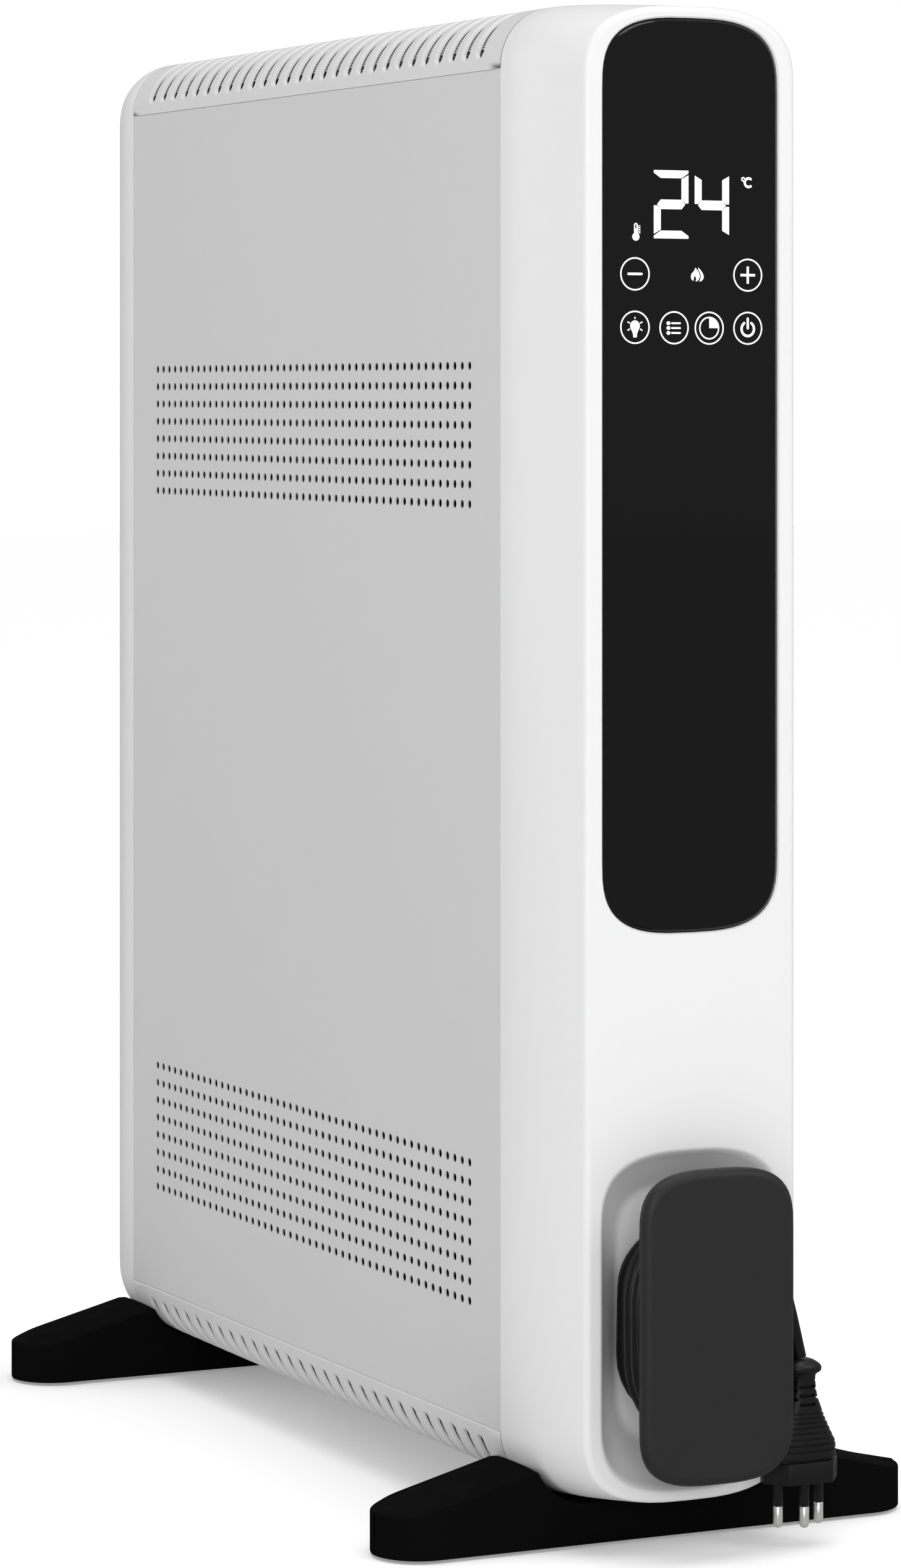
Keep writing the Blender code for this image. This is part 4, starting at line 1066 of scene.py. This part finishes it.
def bar(x_from, z_from, x_to, z_to, wide, steps=6):
    """A stroke with round ends."""
    along = math.atan2(z_to - z_from, x_to - x_from)
    points = []
    for (x, z), start in (((x_to, z_to), along - math.pi / 2), ((x_from, z_from), along + math.pi / 2)):
        points += [polar(wide / 2, math.degrees(start) + 180 * i / steps, x, z) for i in range(steps + 1)]
    return points


def arc_stroke(x, z, radius, wide, start, end, steps=24):
    """Part of a ring between two angles in degrees, with round ends."""
    angles = [start + (end - start) * i / steps for i in range(steps + 1)]
    outer = [polar(radius + wide / 2, a, x, z) for a in angles]
    inner = [polar(radius - wide / 2, a, x, z) for a in angles]
    caps = []
    for a, base in ((end, end), (start, start + 180)):
        middle = polar(radius, a, x, z)
        caps.append([polar(wide / 2, base + 30 * i, *middle) for i in range(1, 6)])
    return outer + caps[0] + inner[::-1] + caps[1]


def digit(segments):
    """Seven-segment digit parts, about the digit's middle, in mm."""
    half_w, half_h, thick, gap = 7.95, 13.85, 3.2, 0.12
    mid = 1.95
    outer_side = 1.1
    shapes = {
        "a": [(-half_w, half_h), (half_w, half_h), (half_w, half_h - outer_side),
              (half_w - thick, half_h - thick), (-half_w + thick, half_h - thick),
              (-half_w, half_h - outer_side)],
        "b": [(half_w, half_h - outer_side - 3 * gap - 0.4), (half_w, 4 * gap), (half_w - 1.5, 4 * gap),
              (half_w - thick, mid + gap), (half_w - thick, half_h - thick - 3 * gap)],
        "g": [(-half_w + 1.5, 0), (-half_w + thick, mid), (half_w - thick, mid), (half_w - 1.5, 0),
              (half_w - thick, -mid), (-half_w + thick, -mid)],
    }
    shapes["f"] = [(-u, v) for u, v in shapes["b"]]
    shapes["c"] = [(u, -v) for u, v in shapes["b"]]
    shapes["e"] = [(-u, -v) for u, v in shapes["b"]]
    shapes["d"] = [(u, -v) for u, v in shapes["a"]]
    return [shapes[s] for s in segments]


def make_marks():
    place_marks("readout_tens", digit("abged"), -9.45, 548.05)
    place_marks("readout_ones", digit("fgbc"), 9.35, 547.95)
    degree = ring_pair(0.95, 0.55, -1.55, 1.35, 20) + [arc_stroke(0.95, 0, 1.75, 1.05, 55, 305, 20)]
    place_marks("readout_unit", degree, 25.4, 557.5)
    thermometer = [
        [polar(1.65, a, 0, -2.15) for a in range(120, 421, 15)]
        + [polar(0.85, a, 0, 2.6) for a in range(0, 181, 15)],
        [(-0.3, 1.2), (-0.3, 2.8), (0.3, 2.8), (0.3, 1.2)],
    ]
    for v in (-0.75, -0.05, 0.65, 1.35, 2.05):
        thermometer.append([(1.0, v), (2.05, v), (2.05, v + 0.38), (1.0, v + 0.38)])
    place_marks("readout_thermometer", thermometer, -25.6, 536.9)
    key_ring = ring_pair(6.75, 0.62)
    place_marks("key_minus", key_ring + [bar(-3, 0, 3, 0, 1.0)], -26.0, 519.7)
    arm, tall, thin = 3.4, 3.5, 0.52
    plus = [(-arm, -thin), (-thin, -thin), (-thin, -tall), (thin, -tall), (thin, -thin), (arm, -thin),
            (arm, thin), (thin, thin), (thin, tall), (-thin, tall), (-thin, thin), (-arm, thin)]
    place_marks("key_plus", key_ring + [plus], 26.0, 519.7)
    flame = [(-1.0, 2.8), (-0.1, 2.0), (0.9, 0.6), (1.15, -0.8), (0.7, -2.0), (-0.1, -2.7),
             (-0.85, -2.8), (-0.45, -2.0), (-0.7, -1.1), (-1.3, -0.4), (-1.6, -1.4), (-1.75, -2.6),
             (-2.6, -2.1), (-3.0, -1.0), (-2.75, 0.2), (-1.7, 1.3), (-1.2, 2.0)]
    second = [(0.3, 2.9), (1.5, 1.9), (2.6, 0.4), (3.0, -0.9), (2.6, -2.0), (1.7, -2.7), (0.9, -2.8),
              (1.45, -1.7), (1.6, -0.5), (1.3, 0.8), (0.5, 1.9)]
    place_marks("readout_flame", [flame, second], 2.6, 519.7)
    light = [[polar(2.2, a, 0, 0.6) for a in range(-35, 216, 12)]
             + [(-0.95, -2.6), (-0.8, -4.1), (0.8, -4.1), (0.95, -2.6)], bar(0, 3.6, 0, 4.0, 0.55)]
    for side in (-1, 1):
        light += [bar(side * 2.5, v, side * 3.2, w, 0.55) for v, w in ((1.75, 2.1), (-0.75, -1.2))]
    place_marks("key_light", key_ring + light, -26.0, 498.1)
    menu = []
    for v in (1.85, -0.1, -2.1):
        menu += [bar(-2.75, v, -2.45, v, 1.5), bar(-1.0, v, 2.75, v, 0.75)]
    place_marks("key_menu", key_ring + menu, -8.1, 498.0)
    pie = [(0, 0)] + [polar(4.15, a) for a in range(0, 91, 9)]
    place_marks("key_timer", key_ring + ring_pair(4.65, 0.6), 8.1, 497.95)
    place_marks("key_timer_pie", [pie], 8.1, 497.95, 0.07 * MM)
    power = [arc_stroke(0, -0.3, 2.9, 1.05, 125, 415), bar(0, 0.0, 0, 3.9, 1.05)]
    place_marks("key_power", key_ring + power, 26.0, 498.0)


# --- cover plate and feet ------------------------------------------------------------------------

def make_cover():
    front, back = PLATE_LOW_CORNER.y, PLATE_HIGH_CORNER.y
    half = PLATE_HIGH_CORNER.x

    def at(inset, y):
        return at_y(outline(half - inset, PLATE_LOW_CORNER.z + inset, PLATE_HIGH_CORNER.z - inset,
                            half - inset, PLATE_CORNER - inset, PLATE_POWER), y)

    rings = [at(2.5 * MM, back), at(0.5 * MM, back), at(0.15 * MM, back - 0.15 * MM), at(0, back - 0.5 * MM)]
    for turn in range(0, 91, 10):
        along, up = polar(PLATE_EDGE, turn)
        rings.append(at(PLATE_EDGE - along, front + PLATE_EDGE - up))
    finish_object("cover_plate", loft_mesh("cover_plate", rings), "cover_plastic", 50, "cord_cover_plate",
                  weighted=True)


FOOT_SHOULDER = (59.7 * MM, 33 * MM)
FOOT_SLOPE_HIGH = 20.4 * MM
FOOT_END_HIGH = 19 * MM
FOOT_SLOPE_END = 109 * MM
CRADLE_GAP = 0.5 * MM
PAD_SEAT = 9.3 * MM
FOOT_EDGE = 0.9 * MM
FOOT_CROWN = 0.5 * MM
FOOT_HEM = 0.6 * MM


def foot_height(x, foot_half):
    """Height of the foot's upper surface, in the cradle under the case and outside it."""
    shoulder_x, shoulder_z = FOOT_SHOULDER
    if abs(x) < shoulder_x - WELD:
        beyond = min(max(abs(x) - (HALF_WIDTH - CORNER), 0), CORNER)
        return min(CASE_LOW + CORNER - math.sqrt(CORNER ** 2 - beyond ** 2) - CRADLE_GAP, shoulder_z)
    along = min(max((abs(x) - shoulder_x) / (FOOT_SLOPE_END - shoulder_x), 0), 1)
    height = shoulder_z + (FOOT_SLOPE_HIGH - shoulder_z) * along
    beyond = max(abs(x) - FOOT_SLOPE_END, 0) / (foot_half - FOOT_SLOPE_END)
    return height - (FOOT_SLOPE_HIGH - FOOT_END_HIGH) * (1 - (1 - beyond) ** 2)


def make_foot(end):
    low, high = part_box(f"{end}_foot")
    foot_half, y_mid, half = high.x, (low.y + high.y) / 2, (high.y - low.y) / 2
    straight = foot_half - half
    bend = HALF_WIDTH - CORNER
    stations = [bend + (FOOT_SHOULDER[0] - bend) * i / 24 for i in range(25)]
    stations += [stations[-1] + (straight - stations[-1]) * i / 8 for i in range(1, 9)]
    stations += [straight + half * math.sin(math.radians(a)) for a in (*range(5, 86, 5), 87.5, 89.2)]
    stations = [-x for x in stations[::-1]] + stations
    rings = []
    for x in stations:
        beyond = max(abs(x) - straight, 0)
        reach = max(math.sqrt(half ** 2 - beyond ** 2), 0.4 * MM)
        top = foot_height(x, foot_half)
        side = reach - FOOT_EDGE
        round_z = top - FOOT_CROWN - FOOT_EDGE
        section = [(-reach + FOOT_HEM, low.z), (reach - FOOT_HEM, low.z), (reach, low.z + FOOT_HEM)]
        section += [polar(FOOT_EDGE, turn, side, round_z) for turn in (0, 30, 60, 90)]
        section += [(share * side, top - FOOT_CROWN * share * share) for share in (0.6, 0.3, 0, -0.3, -0.6)]
        section += [polar(FOOT_EDGE, turn, -side, round_z) for turn in (90, 120, 150, 180)]
        section.append((-reach, low.z + FOOT_HEM))
        rings.append([(x, y_mid + y, z) for y, z in section])
    shell = loft_mesh("foot", rings)
    holes = []
    for side in ("left", "right"):
        seat = ((-1 * MM, PAD_SEAT), (2.4 * MM, PAD_SEAT))
        holes.append(lathe_mesh("pad_seat", seat, (node_middle(f"foot_pad_{end}_{side}").x, y_mid, 0)))
        x, y = node_middle(f"foot_screw_{end}_{side}").xy
        profile = ((-1 * MM, 5 * MM), (7 * MM, 5 * MM), (7.1 * MM, 2.6 * MM), (30 * MM, 2.6 * MM))
        holes.append(lathe_mesh("screw_hole", profile, (x, y, 0)))
    finish_object(f"{end}_cross_foot", cut(shell, holes), "foot_plastic", 24, f"{end}_foot", weighted=True)


# --- the scene -----------------------------------------------------------------------------------

make_camera()
make_lights()
make_floor()
paint_cad_nodes()
make_cord(make_plug() + [make_gland()])
make_front_cap()
make_rear_cap()
make_side_panel("left", -1)
make_side_panel("right", 1)
for grille_name, is_top in (("top_grille", True), ("bottom_grille", False)):
    make_grille(grille_name, is_top)
    make_inner_guard(grille_name.replace("grille", "guard"), is_top)
make_glass()
make_marks()
make_cover()
for foot_end in ("front", "rear"):
    make_foot(foot_end)
bpy.context.scene.view_settings.view_transform = "Standard"
